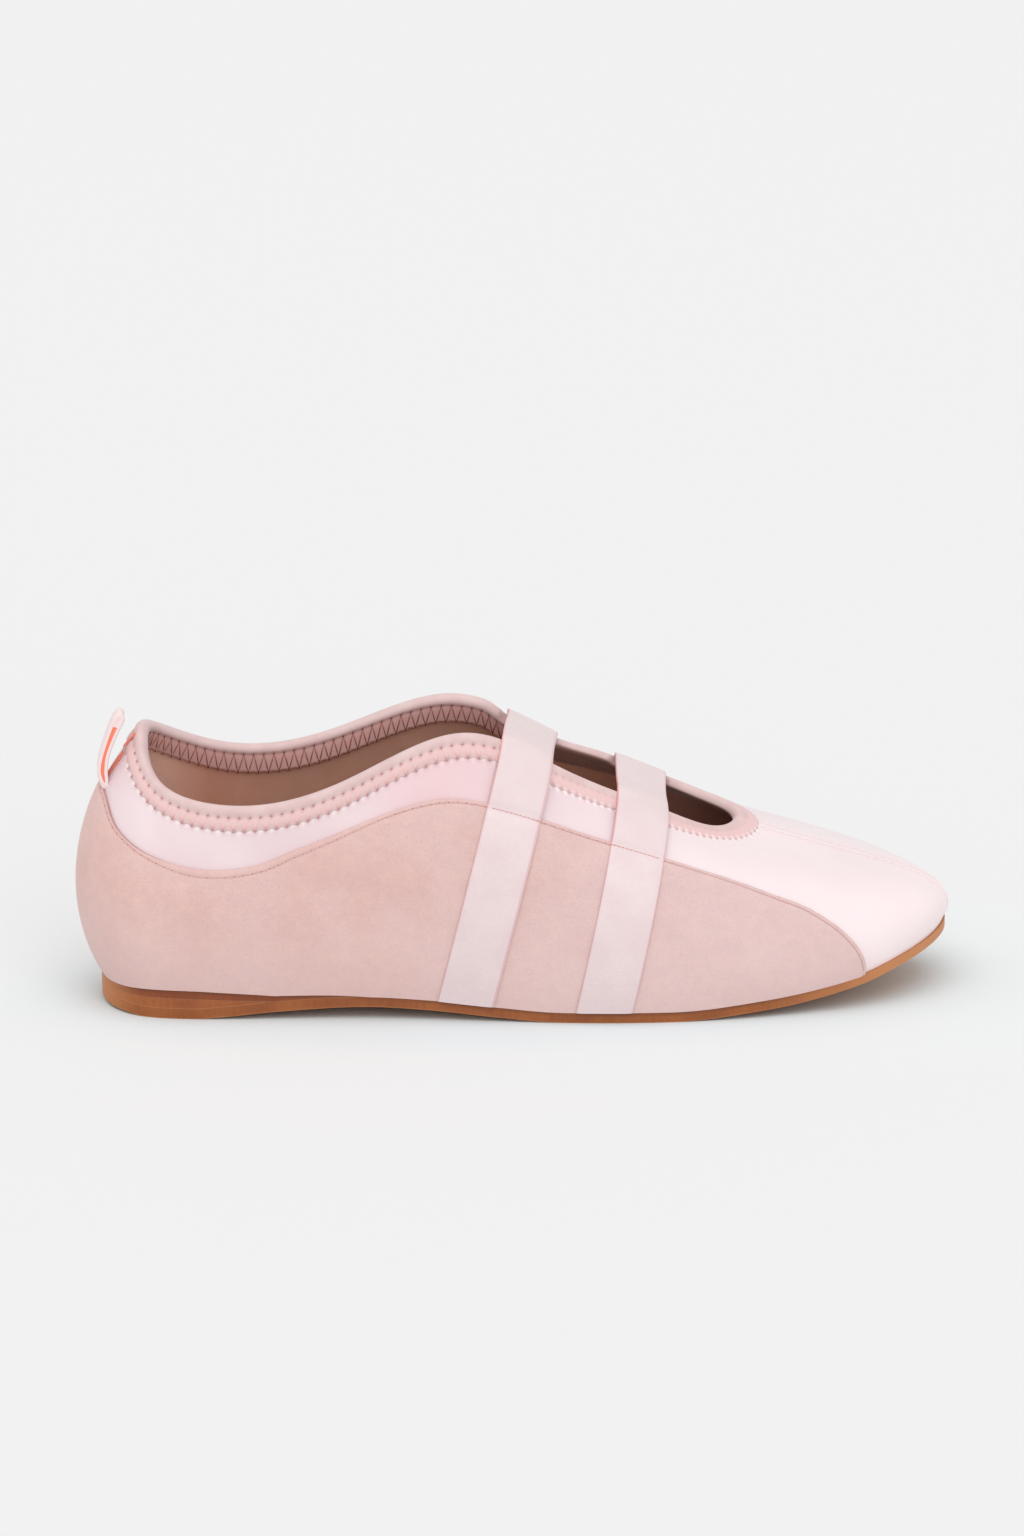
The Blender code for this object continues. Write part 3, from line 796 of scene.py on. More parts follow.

# %% [markdown]
# ## Creases
#
# Cloth on a shoe that has been handled isn't dead smooth. The main creases are placed as soft troughs
# with a low ridge beside them, each along a short line between two places on the wall.
# Noise alone would look like crumpled paper, and a simulation would move the edges that are sewn.

# %% Troughs and ridges
# Each row: from turn, climb to turn, climb, then half width and depth in millimetres.
CREASES = {
    "heel_fold":       (0.040, 0.95, 0.052, 0.76, 3.0, 0.22),
    "quarter_fold":    (0.088, 0.90, 0.104, 0.70, 4.5, 0.18),
    "quarter_pull":    (0.150, 0.88, 0.200, 0.81, 2.6, 0.14),
    "waist_sag":       (0.130, 0.55, 0.190, 0.35, 6.0, 0.30),
    "heel_sag":        (0.050, 0.45, 0.085, 0.22, 6.0, 0.25),
    "instep_pull":     (0.205, 0.70, 0.228, 0.40, 4.0, 0.20),
    "ball_flex":       (0.300, 0.62, 0.322, 0.22, 4.0, 0.22),
    "ball_flex_front": (0.345, 0.55, 0.352, 0.20, 3.5, 0.16),
    "vamp_flex":       (0.395, 0.88, 0.452, 0.62, 5.0, 0.16),
    "toe_pull":        (0.452, 0.55, 0.470, 0.20, 4.0, 0.14),
    "medial_heel":     (-0.045, 0.95, -0.062, 0.76, 3.0, 0.20),
    "medial_sag":      (-0.120, 0.55, -0.190, 0.30, 6.0, 0.28),
    "medial_flex":     (-0.300, 0.62, -0.325, 0.22, 4.0, 0.22),
    "medial_vamp":     (-0.400, 0.86, -0.450, 0.60, 5.0, 0.16),
}
CREASE_POINTS = 40
CREASE_RIDGE = (0.45, 1.7, 0.7)  # its height in depths, then its distance and width in widths


def creased(points, rows, ridge, power):
    """How far out each point is moved by creases, negative in a trough. A crease fades towards its
    ends as a power of a sine."""
    moved = np.zeros(len(points))
    share = np.linspace(0, 1, CREASE_POINTS)
    height, away, spread = ridge
    for turn, climb, end_turn, end_climb, *sizes in rows.values():
        width, depth = np.array(sizes) * MM
        path = wall(turn + (end_turn - turn) * share, climb + (end_climb - climb) * share)
        run = lengths(path)[-1]
        near = np.linalg.norm(points - path[CREASE_POINTS // 2], axis=1) < 3 * width + run
        distance, along = distances(points[near], path)
        fade = np.sin(np.pi * np.clip(along / run, 0, 1)) ** power
        beside = height * bump_at(distance - away * width, spread * width)
        moved[near] += depth * fade * (beside - bump_at(distance, width))
    return moved


def handled(points):
    """The creases of the outer cloth, which satin and suede share."""
    return creased(points, CREASES, CREASE_RIDGE, 0.7)


print(len(CREASES), "creases")

# %% [markdown]
# ## Satin
#
# The upper is satin bonded to thin foam: very pale pink, soft rather than glossy, with a fine cross
# weave and cloudy sheen. One ring of cloth goes round the whole shoe. Its rows crowd towards the
# topline, where small tufts of satin push out between the zigzag's lower holes. The tufts are
# modelled, and the weave, which is finer than a tenth of a millimetre, is left to the bump.

# %% Satin's finish
def satin_finish():
    satin = Finish("satin_pink", {
        "Sheen Weight": 0.5, "Sheen Roughness": 0.35, "Sheen Tint": (1.0, 1.0, 1.0, 1.0),
        "Specular IOR Level": 0.45,
    })
    along, up = satin.cloth()
    cloud = satin.noise(26 * MM, detail=1.5)
    thread = satin.noise(0.9 * MM)
    satin.paint(
        (0.730, 0.578, 0.598),
        # Painted light: paler towards the toe, whose vamp faces up to the light, and paler low down, where
        # the floor lights it
        (satin.forward(16 * MM, 64 * MM), (0.800, 0.680, 0.690)),
        (satin.low(16 * MM, 40 * MM) * 0.6, (0.93, 0.79, 0.80)),
        # Lighter cloudy patches, partly uneven tone and partly painted sheen
        (cloud.over(0.3, 0.7) * 0.22, (0.90, 0.82, 0.83)),
        # Painted highlight on the raised tufts
        (satin.noted("tuft") * 0.8, (0.87, 0.78, 0.785)),
        (satin.noted("shade") * 0.5, (0.74, 0.43, 0.45)),
    )
    satin.feed("Roughness", 0.44 + thread * 0.1 - cloud * 0.06)
    weave = along.wave(0.34 * MM) * up.wave(0.34 * MM)
    satin.bump(weave * 0.3 + thread * 0.5 + cloud * 3.0, 0.05 * MM)
    return satin.material


satin_pink = satin_finish()

# %% The satin ring
SATIN_COLUMNS = 5 * ZIGZAGS
SATIN_ROWS = 44
SATIN_CROWD = 1.9  # how strongly the rows crowd towards the topline
TUFT_REACH = 1.5 * MM
TUFT_RISE = (-1.2 * MM, -0.2 * MM)  # where a tuft begins and ends to rise, beyond the lower holes
TUFT_HEIGHT = 0.15 * MM
PINCH = 0.09 * MM  # how deep the thread pulls the satin in at each lower hole
WAIST_SHADE = (0.222, 0.86)  # painted shade makes the satin darker and pinker round here: turn, climb
WAIST_SHADE_REACH = 20 * MM


def satin_down(turn, share):
    """Rows of satin from the feather edge (share 0) to the topline (1)."""
    depth = rib_runs[np.round(turn * RIB_TURNS).astype(int) % RIB_TURNS, -1]
    return depth * (1 - share) ** SATIN_CROWD


def build_satin():
    satin, across, up = cut("satin_upper", SATIN_COLUMNS, SATIN_ROWS)
    stitch = across * ZIGZAGS
    turn = turn_at(stitch)
    down = satin_down(turn, up)
    beyond = down - BAND_FOOT
    uneven = np.random.default_rng(7).uniform(0.55, 1.2, (3, ZIGZAGS + 1))
    uneven[:, -1] = uneven[:, 0]
    near = np.round(stitch).astype(int)
    aside = stitch - near + 0.12 * (uneven[1, near] - 0.9)
    reach = TUFT_REACH * uneven[2, near] * (1 + 0.3 * at_throat(turn))
    tuft = ripple(aside) ** 1.2 * uneven[0, near]
    tuft = tuft * smooth_step(beyond, *TUFT_RISE) * (1 - smooth_step(beyond, -0.1 * MM, reach))
    pinch = bump_at(beyond - 0.2 * MM, 0.9 * MM) * (1 - ripple(stitch))
    points = by_topline(turn, down, 0)
    lay(satin, points)
    out = TUFT_HEIGHT * tuft - PINCH * pinch * (1 - 0.7 * at_throat(turn)) + handled(points)
    put_points(satin, points + wall_normal(turn, climb_below(turn, down)) * out[:, None])
    # Painted shade: dimples at the lower holes, and a darker, pinker patch round the waist
    waist_shade = bump_at(np.linalg.norm(points - wall(*WAIST_SHADE), axis=1), WAIST_SHADE_REACH)
    note(satin, tuft=np.clip(1.5 * tuft, 0, 1), shade=np.clip(0.5 * pinch + 0.8 * waist_shade, 0, 1))
    weld(satin)
    thicken(satin, SATIN, -1)
    return finish_piece(satin, satin_pink, "satin", "upper")


build_satin()

# %% [markdown]
# ## The vamp's centre seam
#
# The satin's two halves meet on the centre line, from the throat's end to the tip of the toe. Their
# edges are turned under and sewn down on both sides, so the seam is a low raised strip with a sharp
# groove in its middle and a row of stitches on each side. A narrow strip of its own can have the fine
# columns that the groove needs, which would be wasted on the whole upper.

# %% The seam's strip
SEAM_HALF = 4.9 * MM
SEAM_EDGE = 3.8 * MM  # from the groove to where the turned-under cloth ends
SEAM_ROW = 2.6 * MM  # from the groove to each row of stitches
SEAM_TURN = 0.5
SEAM_PITCH = 2.6 * MM
SEAM_HEIGHT = 0.26 * MM
SEAM_GROOVE = 0.34 * MM  # half the groove's width
SEAM_PRESSED = 0.12 * MM  # how deep its stitches press
SEAM_PROUD = 0.03 * MM  # the strip lies this far out from the satin
SEAM_CLOTH = 0.3 * MM
THREAD = 0.10 * MM  # the radius of the thread here and along the suede's edge
seam_top = float(climb_below(SEAM_TURN, BAND_FOOT - 0.5 * MM))


def seam_surface(share, aside, out):
    """A point of the strip: share goes from the throat to the toe, aside across the strip."""
    climb = seam_top * (1 - share)
    middle, near = wall(SEAM_TURN, climb), wall(SEAM_TURN + NEAR_TURN, climb)
    turn = SEAM_TURN + NEAR_TURN * aside / np.linalg.norm(near - middle, axis=-1)
    return shell(turn, climb, out), wall_normal(turn, climb)


def seam_relief(aside):
    width = np.abs(aside)
    raised = SEAM_HEIGHT * (1 - smooth_step(width, SEAM_EDGE - 0.25 * MM, SEAM_EDGE + 0.5 * MM))
    groove = SEAM_HEIGHT * bump_at(width, SEAM_GROOVE)
    pressed = SEAM_PRESSED * bump_at(width - SEAM_ROW, 0.30 * MM)
    return SEAM_PROUD + raised - groove - pressed


def build_seam():
    seam, across, up = cut("vamp_seam", 240, 40)
    aside = (up - 0.5) * 2 * SEAM_HALF
    lay(seam, seam_surface(across, aside, seam_relief(aside))[0])
    lines = 0.70 * bump_at(np.abs(aside) - SEAM_EDGE, 0.35 * MM)
    note(seam, tuft=0 * aside, shade=0.9 * bump_at(aside, 0.55 * MM) + lines)
    face_out(seam)
    thicken(seam, SEAM_CLOTH, -1)
    return finish_piece(seam, satin_pink, "satin")


build_seam()

# %% Its two rows of stitches
SEWN = np.linspace(0.01, 0.985, 400)  # the share of the strip that is sewn
SEAM_GAP = 0.16  # the share of a stitch's length left open at either end
SEAM_LIFT = 0.06 * MM  # of the thread, out from the cloth


def sew_seam():
    run = lengths(seam_surface(SEWN, np.zeros(len(SEWN)), 0)[0])
    count = int(run[-1] / SEAM_PITCH)
    at = np.interp(np.linspace(0, run[-1], count + 1), run, SEWN)
    rows = []
    for side in (-SEAM_ROW, SEAM_ROW):
        lift = seam_relief(np.array(side)) + SEAM_LIFT
        points, outward = seam_surface(at, np.full(count + 1, side), np.full(count + 1, lift))
        rows.append(between(points, outward, SEAM_GAP))
    starts, ends, normals = (np.concatenate(part) for part in zip(*rows))
    thread = plain("thread_satin", (0.90, 0.79, 0.79), 0.5)
    return sew("stitches_vamp", starts, ends, normals, THREAD, thread)


sew_seam()

# %% [markdown]
# ## Lining
#
# Inside, the shoe is lined with thin taupe leather, matt and softly wrinkled where it turns the
# corner at the instep. It is the inner half of the wall, so it is laid just inside the satin, and
# its thickness grows inwards.

# %% Leather lining
def lining_finish():
    lining = Finish("lining_taupe", {"Sheen Weight": 0.15, "Specular IOR Level": 0.35})
    cloud, grain = lining.noise(14 * MM), lining.noise(0.55 * MM, detail=3.0)
    # Painted light and shade along the shoe: lightest at the heel's back, where light falls in, darker
    # through the waist, lighter again round the straps and darkest deep in the toe
    lining.paint(
        (0.740, 0.375, 0.268),
        (lining.forward(-112 * MM, -55 * MM), (0.455, 0.240, 0.165)),
        (1 - lining.forward(-110 * MM, -86 * MM), (1.0, 0.73, 0.61)),
        (lining.forward(-12 * MM, 8 * MM), (0.600, 0.325, 0.220)),
        (lining.forward(32 * MM, 50 * MM), (0.390, 0.225, 0.185)),
        (cloud.over(0.3, 0.7) * 0.2, (0.66, 0.42, 0.33)),
        (grain * 0.2, (0.27, 0.13, 0.10)),
    )
    lining.feed("Roughness", 0.62 + grain * 0.2)
    lining.bump(grain + cloud * 2, 0.07 * MM)
    return lining.material


lining_taupe = lining_finish()
LINING_WRINKLES = {
    "instep_lateral": (0.205, 0.86, 0.236, 0.74, 2.2, 0.45),
    "instep_medial":  (-0.200, 0.86, -0.232, 0.72, 2.2, 0.45),
    "waist_medial":   (-0.145, 0.70, -0.185, 0.80, 3.0, 0.35),
    "heel_medial":    (-0.060, 0.62, -0.095, 0.45, 4.0, 0.40),
    "heel_back":      (-0.020, 0.70, 0.020, 0.62, 4.0, 0.30),
    "heel_fold":      (-0.105, 0.86, -0.098, 0.35, 3.5, 0.60),
    "quarter_medial": (-0.160, 0.72, -0.150, 0.30, 5.0, 0.50),
}


LINING_RIDGE = (0.4, 1.8, 1.0)
LINING_MOST = 0.02 * MM  # a ridge may stand out this far, or it would meet the satin


def build_lining():
    lining, turn, climb = cut("lining", 300, 48)
    points = shell(turn, climb, -SATIN - FILM)
    lay(lining, points)
    out = np.minimum(creased(points, LINING_WRINKLES, LINING_RIDGE, 1), LINING_MOST)
    put_points(lining, points + wall_normal(turn, climb) * out[:, None])
    weld(lining)
    thicken(lining, WALL - SATIN - FILM, -1)
    return finish_piece(lining, lining_taupe, "lining")


build_lining()

# %% [markdown]
# ## Suede overlay
#
# One skin of dusty pink suede wraps the heel and both sides. Its nap is brushed unevenly, so its
# colour is mottled at three scales. The cut edge is rounded by skiving and has a painted shadow along
# it, strongest at the heel, and a row of stitches presses a shallow line just inside it, painted
# darker as shade in its groove. The edge is a line on the last, and each point's distance to that
# line gives the rounding, the pressed line and the painted shade of both together.

# %% Suede's finish
def suede_finish():
    suede = Finish("suede_pink", {
        "Roughness": 0.95, "Specular IOR Level": 0.2,
        "Sheen Weight": 0.35, "Sheen Roughness": 0.5, "Sheen Tint": (1.0, 0.86, 0.84, 1.0),
    })
    cloud = suede.noise(17 * MM)
    brushed = suede.noise(3.5 * MM, detail=3.0, roughness=0.6)
    nap = suede.noise(0.55 * MM, detail=3.0, roughness=0.65)
    suede.paint(
        (0.668, 0.438, 0.410),
        # Painted light: paler towards the toe, which faces more upward
        (suede.forward(-60 * MM, 60 * MM), (0.642, 0.462, 0.455)),
        (cloud.over(0.35, 0.65) * 0.20, (0.76, 0.60, 0.60)),
        (brushed.over(0.36, 0.70) * 0.24, (0.80, 0.56, 0.47)),
        (nap.over(0.45, 0.75) * 0.30, (0.52, 0.28, 0.25)),
        (suede.low(12 * MM, 42 * MM) * 0.3, (0.80, 0.60, 0.58)),
        # Painted shade in the pressed line's groove
        (suede.noted("pressed") * 0.30, (0.50, 0.25, 0.23)),
        # Painted shadow along the cut edge
        (suede.noted("edge") * 0.8, (0.30, 0.125, 0.12)),
    )
    suede.bump(nap * 0.8 + brushed * 0.8, 0.16 * MM)
    return suede.material


suede_pink = suede_finish()
QUARTER_END = QUARTER_EDGE["front"][0]
SUEDE_OUT = FILM + SUEDE  # the suede's face, out from the satin
SUEDE_SKIVED = 0.38 * MM  # how far the cut edge is rounded down
SUEDE_PRESSED = 0.12 * MM  # how deep its stitches press
SUEDE_CROWD = 1.8  # how strongly the rows crowd towards the edge
EDGE_POINTS = 1400


MARGIN_DIP = 2.1 * MM  # from the cut edge to the stitches, at the heel's dip
MARGIN_BACK = 0.95 * MM  # and behind it
MARGIN_FRONT = 1.05 * MM  # and ahead of it


def seam_margin(turn):
    """From the cut edge to the stitches: wide at the heel's dip, narrow behind and ahead of it."""
    behind = 1 - smooth_step(np.abs(turn), 0.035, 0.075)
    ahead = smooth_step(np.abs(turn), 0.09, 0.20)
    return MARGIN_DIP - (MARGIN_DIP - MARGIN_BACK) * behind - (MARGIN_DIP - MARGIN_FRONT) * ahead


def quarter_outline():
    """The overlay's edge as turn and climb: up the medial front, over the top and down the lateral."""
    top = np.linspace(-QUARTER_END, QUARTER_END, EDGE_POINTS)
    side = np.linspace(0, QUARTER_EDGE["front"][1], EDGE_POINTS // 10, endpoint=False)
    turn = np.concatenate([np.full(len(side), -QUARTER_END), top, np.full(len(side), QUARTER_END)])
    return turn, np.concatenate([side, quarter_edge(top), side[::-1]])


outline_turn, outline_climb = quarter_outline()
outline = wall(outline_turn, outline_climb)
print("suede edge:", round(lengths(outline)[-1] / MM), "mm long")

# %% The suede skin
def build_suede():
    suede, across, up = cut("suede_quarter", 460, 44)
    turn = -QUARTER_END * np.cos(np.pi * across)
    climb = (1 - (1 - up) ** SUEDE_CROWD) * quarter_edge(turn)
    points, normals = wall(turn, climb), wall_normal(turn, climb)
    distance, _ = distances(points, outline)
    lay(suede, points + normals * (SUEDE_OUT + handled(points))[:, None])
    heel = 1 - smooth_step(np.abs(turn), 0.045, 0.065)
    front = smooth_step(np.abs(turn), 0.36, 0.40)
    seam = distance - seam_margin(turn)
    # A painted shadow along the cut edge, strongest at the heel, where the edge stands off the satin
    edge = bump_at(distance, 0.26 * MM) * (0.08 + 0.80 * heel + 0.10 * front)
    # The pressed line is painted darker, as shade in its groove
    note(suede, edge=edge, pressed=bump_at(seam, 0.30 * MM))
    thicken(suede, SUEDE, -1)
    sunk = SUEDE_SKIVED * np.exp(-distance / (0.45 * MM)) + SUEDE_PRESSED * bump_at(seam, 0.40 * MM)
    skin = points_of(suede)
    skin[: len(sunk)] -= normals * sunk[:, None]
    put_points(suede, skin)
    return finish_piece(suede, suede_pink, "suede", "quarter_overlay")


build_suede()

# %% [markdown]
# ## Elastic binding
#
# A soft elastic tape is folded over the topline. Its upper half is a plain round roll, and its lower
# half is held by the zigzag: the thread dimples it at every hole, gathers it in small ribs between
# them, and draws its edge into points. The folded section is one closed curve, drawn in its own plane
# as depth below the topline and distance out from the wall, and swept round the shoe.

# %% Binding's finish
def binding_finish():
    elastic = Finish("binding_pink", {
        "Roughness": 0.75, "Sheen Weight": 0.3, "Sheen Roughness": 0.4, "Specular IOR Level": 0.3,
    })
    along, up = elastic.cloth()
    knit = along.wave(0.42 * MM) * 0.6 + up.wave(0.50 * MM) * 0.4
    cloud = elastic.noise(5 * MM)
    # The fold's inner face: a mauve at the heel, darkened by painted shade towards the throat and darker
    # still round the toe
    deep = elastic.coats(
        (0.700, 0.425, 0.395),
        (elastic.forward(-4 * MM, 14 * MM), (0.270, 0.150, 0.120)),
        (elastic.forward(30 * MM, 50 * MM), (0.200, 0.100, 0.075)),
    )
    elastic.paint(
        (0.640, 0.462, 0.455),
        (cloud.over(0.3, 0.7), (0.680, 0.512, 0.500)),
        (elastic.noted("band") * 0.9, (0.735, 0.500, 0.495)),
        (elastic.noted("inside"), deep),
        (elastic.noted("pale"), (0.88, 0.74, 0.74)),
        (elastic.noted("shade") * 0.5, (0.40, 0.15, 0.14)),
    )
    elastic.bump(knit * 0.3 + cloud, 0.05 * MM)
    return elastic.material


binding_pink = binding_finish()

# %% The folded tape
# The fold's section in millimetres: down from the topline, and out from the wall.
BINDING_FOLD = (
    (6.30, 0.00), (6.42, 0.12), (6.15, 0.34), (5.50, 0.64), (4.70, 0.87), (3.80, 0.95), (2.80, 0.92),
    (2.30, 0.82), (1.90, 0.93), (1.30, 1.12), (0.50, 1.25), (-0.35, 1.12), (-0.95, 0.62),
    (-1.30, -0.15), (-1.35, -0.90), (-1.28, -1.65), (-0.95, -2.40), (-0.35, -2.85), (0.30, -3.00),
    (0.80, -2.92), (1.15, -2.72), (1.60, -2.80), (2.80, -2.90), (4.40, -2.92), (6.20, -2.86),
    (7.10, -2.76), (7.42, -2.42), (7.30, -2.02), (5.00, -1.95), (2.50, -1.95), (0.50, -1.95),
    (-0.15, -1.60), (-0.35, -0.90), (-0.15, -0.20), (0.50, 0.05), (3.00, 0.07), (5.00, 0.08),
)
FOLD_ROWS = 56
FOLD_COLUMNS = 7  # to a stitch
INNER_TOP = 1.2 * MM
INNER_FOOT = 7.2 * MM
GATHER = 0.08 * MM  # how high the small ribs stand
DIMPLE = 0.26 * MM  # how deep the thread pulls at a hole
SCALLOP = 0.29 * MM  # how far the lower edge is drawn up and let down
HEEL_SPREAD = 0.045  # the heel's share of the stitches, where the inner ribs are stronger
fold_curve = closed_spline(np.array(BINDING_FOLD))


def folded(stitch, share):
    """The binding's surface, and how strongly each point is band, inside, shaded and pale."""
    down, out = np.moveaxis(fold_curve(share), -1, 0) * MM
    inside = out < -WALL / 2
    top, foot = np.where(inside, INNER_TOP, BAND_TOP), np.where(inside, INNER_FOOT, BAND_FOOT)
    turn = turn_at(stitch)
    throat = at_throat(turn)
    wave = ripple(stitch)  # 1 at the upper holes, 0 at the lower ones
    skin = np.where(inside, out < -2.4 * MM, out > 0.4 * MM)
    band = smooth_step(down, top - 0.4 * MM, top + 0.5 * MM) * skin
    heel = bump_at((stitch + ZIGZAGS / 2) % ZIGZAGS - ZIGZAGS / 2, HEEL_SPREAD * ZIGZAGS)
    upper_hole = bump_at(down - top, 0.55 * MM) * wave**3
    lower_hole = bump_at(down - foot, 0.60 * MM) * (1 - wave) ** 3
    holes = (upper_hole + lower_hole) * (1 - 0.7 * throat)
    rise = GATHER * ripple(2 * stitch) * band * (1 + 2.5 * heel * inside) - DIMPLE * holes
    edge = smooth_step(down, foot - 2.5 * MM, foot)
    down = down - SCALLOP * edge * (2 * wave - 0.3) * (1 - 0.2 * throat)
    rim = wall(turn, 1.0)
    under = on_strap(rim, 2 * MM) * (rim[:, 1] > 0)
    down = np.where(down < 0, down * (1 - 0.9 * under), down)
    far = throat * smooth_step(rim[:, 1], -5 * MM, 7 * MM)
    out = np.where(inside, -WALL / 2 + (out + WALL / 2) * (1 - 0.45 * far), out)
    place = by_topline(turn, down, out + np.where(inside, -rise, rise))
    shade = holes * skin + np.where(inside, 0.5, 0.0) * edge * (1 - skin)
    # Where the inner face's colour and its painted shade take over; on the far side at the throat, higher
    # up the roll
    inner = inside * smooth_step(down, -0.6 * MM, 1.8 * MM)
    inner = inner + (inside * smooth_step(-out, 1.0 * MM, 1.8 * MM) - inner) * far
    teeth = smooth_step(down, foot - 1.2 * MM, foot - 0.5 * MM) * wave**1.5
    pale = teeth * np.where(inside, 0, 0.35 + 0.5 * throat)
    return place, {"band": band, "inside": inner, "shade": np.clip(shade, 0, 1), "pale": pale}


def build_binding():
    binding, across, up = cut("topline_elastic", FOLD_COLUMNS * ZIGZAGS, FOLD_ROWS)
    points, notes = folded(across * ZIGZAGS, up)
    lay(binding, points)
    note(binding, **notes)
    weld(binding)
    face_out(binding)
    return finish_piece(binding, binding_pink, "binding_elastic", "topline_binding", sharp=80)


build_binding()

# %% The zigzag's thread and holes
# Which way is out, the elastic's face out from the wall, and how deep the lower holes lie in it.
OUTER_SEAT = (1, 1.0 * MM, 0.36 * MM)
INNER_SEAT = (-1, -WALL - 1.05 * MM, 0.22 * MM)
UPPER_SUNK = 0.12 * MM  # how deep the thread lies at the upper holes
THROAT_PULL = 0.08 * MM  # how much deeper the thread lies round the throat
ZIGZAG_HOLE = 0.24 * MM


def zigzag(name, inside, radius, lift, thread, hole):
    """Both strokes of each stitch, between the upper holes and the lower ones."""
    top, foot = (INNER_TOP, INNER_FOOT) if inside else (BAND_TOP, BAND_FOOT)
    side, face, sunk = INNER_SEAT if inside else OUTER_SEAT
    stitch = np.arange(ZIGZAGS)
    if inside:  # round the throat the inner seam is lost in the dark
        stitch = stitch[at_throat(turn_at(stitch)) < 0.7]
    else:  # and the heel tape covers the outer seam
        stitch = stitch[(stitch > 1) & (stitch < ZIGZAGS - 2)]
    first, middle, last = (turn_at(stitch + step) for step in (0, 0.5, 1))
    outward = side * wall_normal(middle, climb_below(middle, foot))
    pulled = THROAT_PULL * at_throat(first)[:, None] * outward

    def seat(turn, down, depth):
        return by_topline(turn, down, face - side * depth) - pulled

    upper = seat(first, top, UPPER_SUNK - lift)
    lower = seat(middle, foot - 0.1 * MM, sunk - lift)
    following = seat(last, top, UPPER_SUNK - lift)
    starts, ends = np.concatenate([upper, lower]), np.concatenate([lower, following])
    outward = np.concatenate([outward, outward])
    throat = at_throat(np.concatenate([first, middle]))
    low = np.repeat([0.0, 1.0], len(stitch))
    sew(name, starts, ends, outward, radius * (1 - 0.35 * throat), thread, (low, 1 - low))
    holes = (seat(first, top - 0.05 * MM, 0.05 * MM), seat(middle, foot + 0.05 * MM, sunk - 0.10 * MM))
    size = ZIGZAG_HOLE * (1 - 0.8 * throat)
    pierce(name.replace("stitches", "holes"), np.concatenate(holes), outward, size, hole)


def thread_finish(name, high, low, throat=None):
    """Thread of one colour at its high end, another at its low one and maybe a third at the throat."""
    thread = Finish(name, {"Roughness": 0.55, "Specular IOR Level": 0.4})
    ahead = [(thread.forward(0, 30 * MM), throat)] if throat else []
    thread.paint(high, (thread.noted("low").over(0.15, 0.85), low), *ahead)
    return thread.material


thread_outer = thread_finish("thread_pale", (0.77, 0.53, 0.515), (0.70, 0.42, 0.40), (0.80, 0.52, 0.49))
# The inner thread: lighter at its top as a painted highlight, darker at its low end and round the throat
# as painted shade
thread_inner = thread_finish("thread_rose", (0.47, 0.19, 0.17), (0.23, 0.07, 0.06), (0.26, 0.12, 0.09))
# Needle holes are painted dark as the shade in them, darkest inside the shoe
hole_rose = plain("needle_hole", (0.46, 0.19, 0.175), 0.9)
hole_dark = plain("needle_hole_dark", (0.15, 0.045, 0.035), 0.9)
zigzag("stitches_zigzag_outer", False, 0.13 * MM, 0.03 * MM, thread_outer, hole_rose)
zigzag("stitches_zigzag_inner", True, 0.20 * MM, 0.06 * MM, thread_inner, hole_dark)

# %% [markdown]
# ## Straps
#
# Two flat elastics cross the throat and run down both sides to the sole. The elastic is woven with
# fine cross ribs and a smooth selvedge, lies flat on the suede, and is caught by the overlay's edge
# stitches, which press a shallow waist in it. Each strap is a strip of cloth between lines that
# climb one side, turn over the topline and go down the other.

# %% Lines along a strap
FOOT_CLIMB = 0.004
STRAP_SPRING = 2.0 * MM
STRAP_LINES = 18
STRAP_STATIONS = 220
HALVINGS = 40
STRAP_FACE = 1.90 * MM  # the strap's outer face, out from the wall, on the suede
STRAP_FACE_TOP = 2.30 * MM  # and over the binding
STRAP_RIM = 1.75 * MM  # above the lateral rim
STRAP_RIM_FAR = 0.9 * MM  # and above the medial rim, whose roll it flattens
STRAP_SLIP = {"strap_rear": 1.1 * MM, "strap_front": 0}  # forward, on the medial side
STRAP_SOFT = 14  # stations on either side over which a line's course is evened out
STRAP_ROUNDED = 0.22 * MM  # how far its edges are rounded down
STRAP_CAUGHT = 0.38 * MM  # how deep the edge stitches press it
STRAP_CAUGHT_HALF = 1.2 * MM  # this far to either side of them


def strap_face(turn, climb):
    """The outer face lifts a little above the suede's edge, to clear the binding."""
    lifted = smooth_step(climb, quarter_edge(turn) + 0.02, 0.97)
    return STRAP_FACE + (STRAP_FACE_TOP - STRAP_FACE) * lifted


def turn_on_band(climb, side, offset, strap):
    """Where a strap's band, moved along the shoe by offset, meets the wall at each climb."""
    low = np.full(climb.shape, 0.0 if side < 0 else 0.5)
    high = low + 0.5
    for _ in range(HALVINGS):
        turn = (low + high) / 2
        ahead = ahead_of(strap, shell(turn, climb, np.full(climb.shape, STRAP_FACE)))
        past = (ahead > offset) == (side < 0)
        low, high = np.where(past, low, turn), np.where(past, turn, high)
    return turn


def softened(values, reach):
    """Values along a line, each averaged with its neighbours up to a reach, with the ends kept."""
    weights = np.hanning(2 * reach + 3)[1:-1]
    head = 2 * values[0] - values[reach:0:-1]
    tail = 2 * values[-1] - values[-2 : -reach - 2 : -1]
    return np.convolve(np.concatenate([head, values, tail]), weights / weights.sum(), "valid")


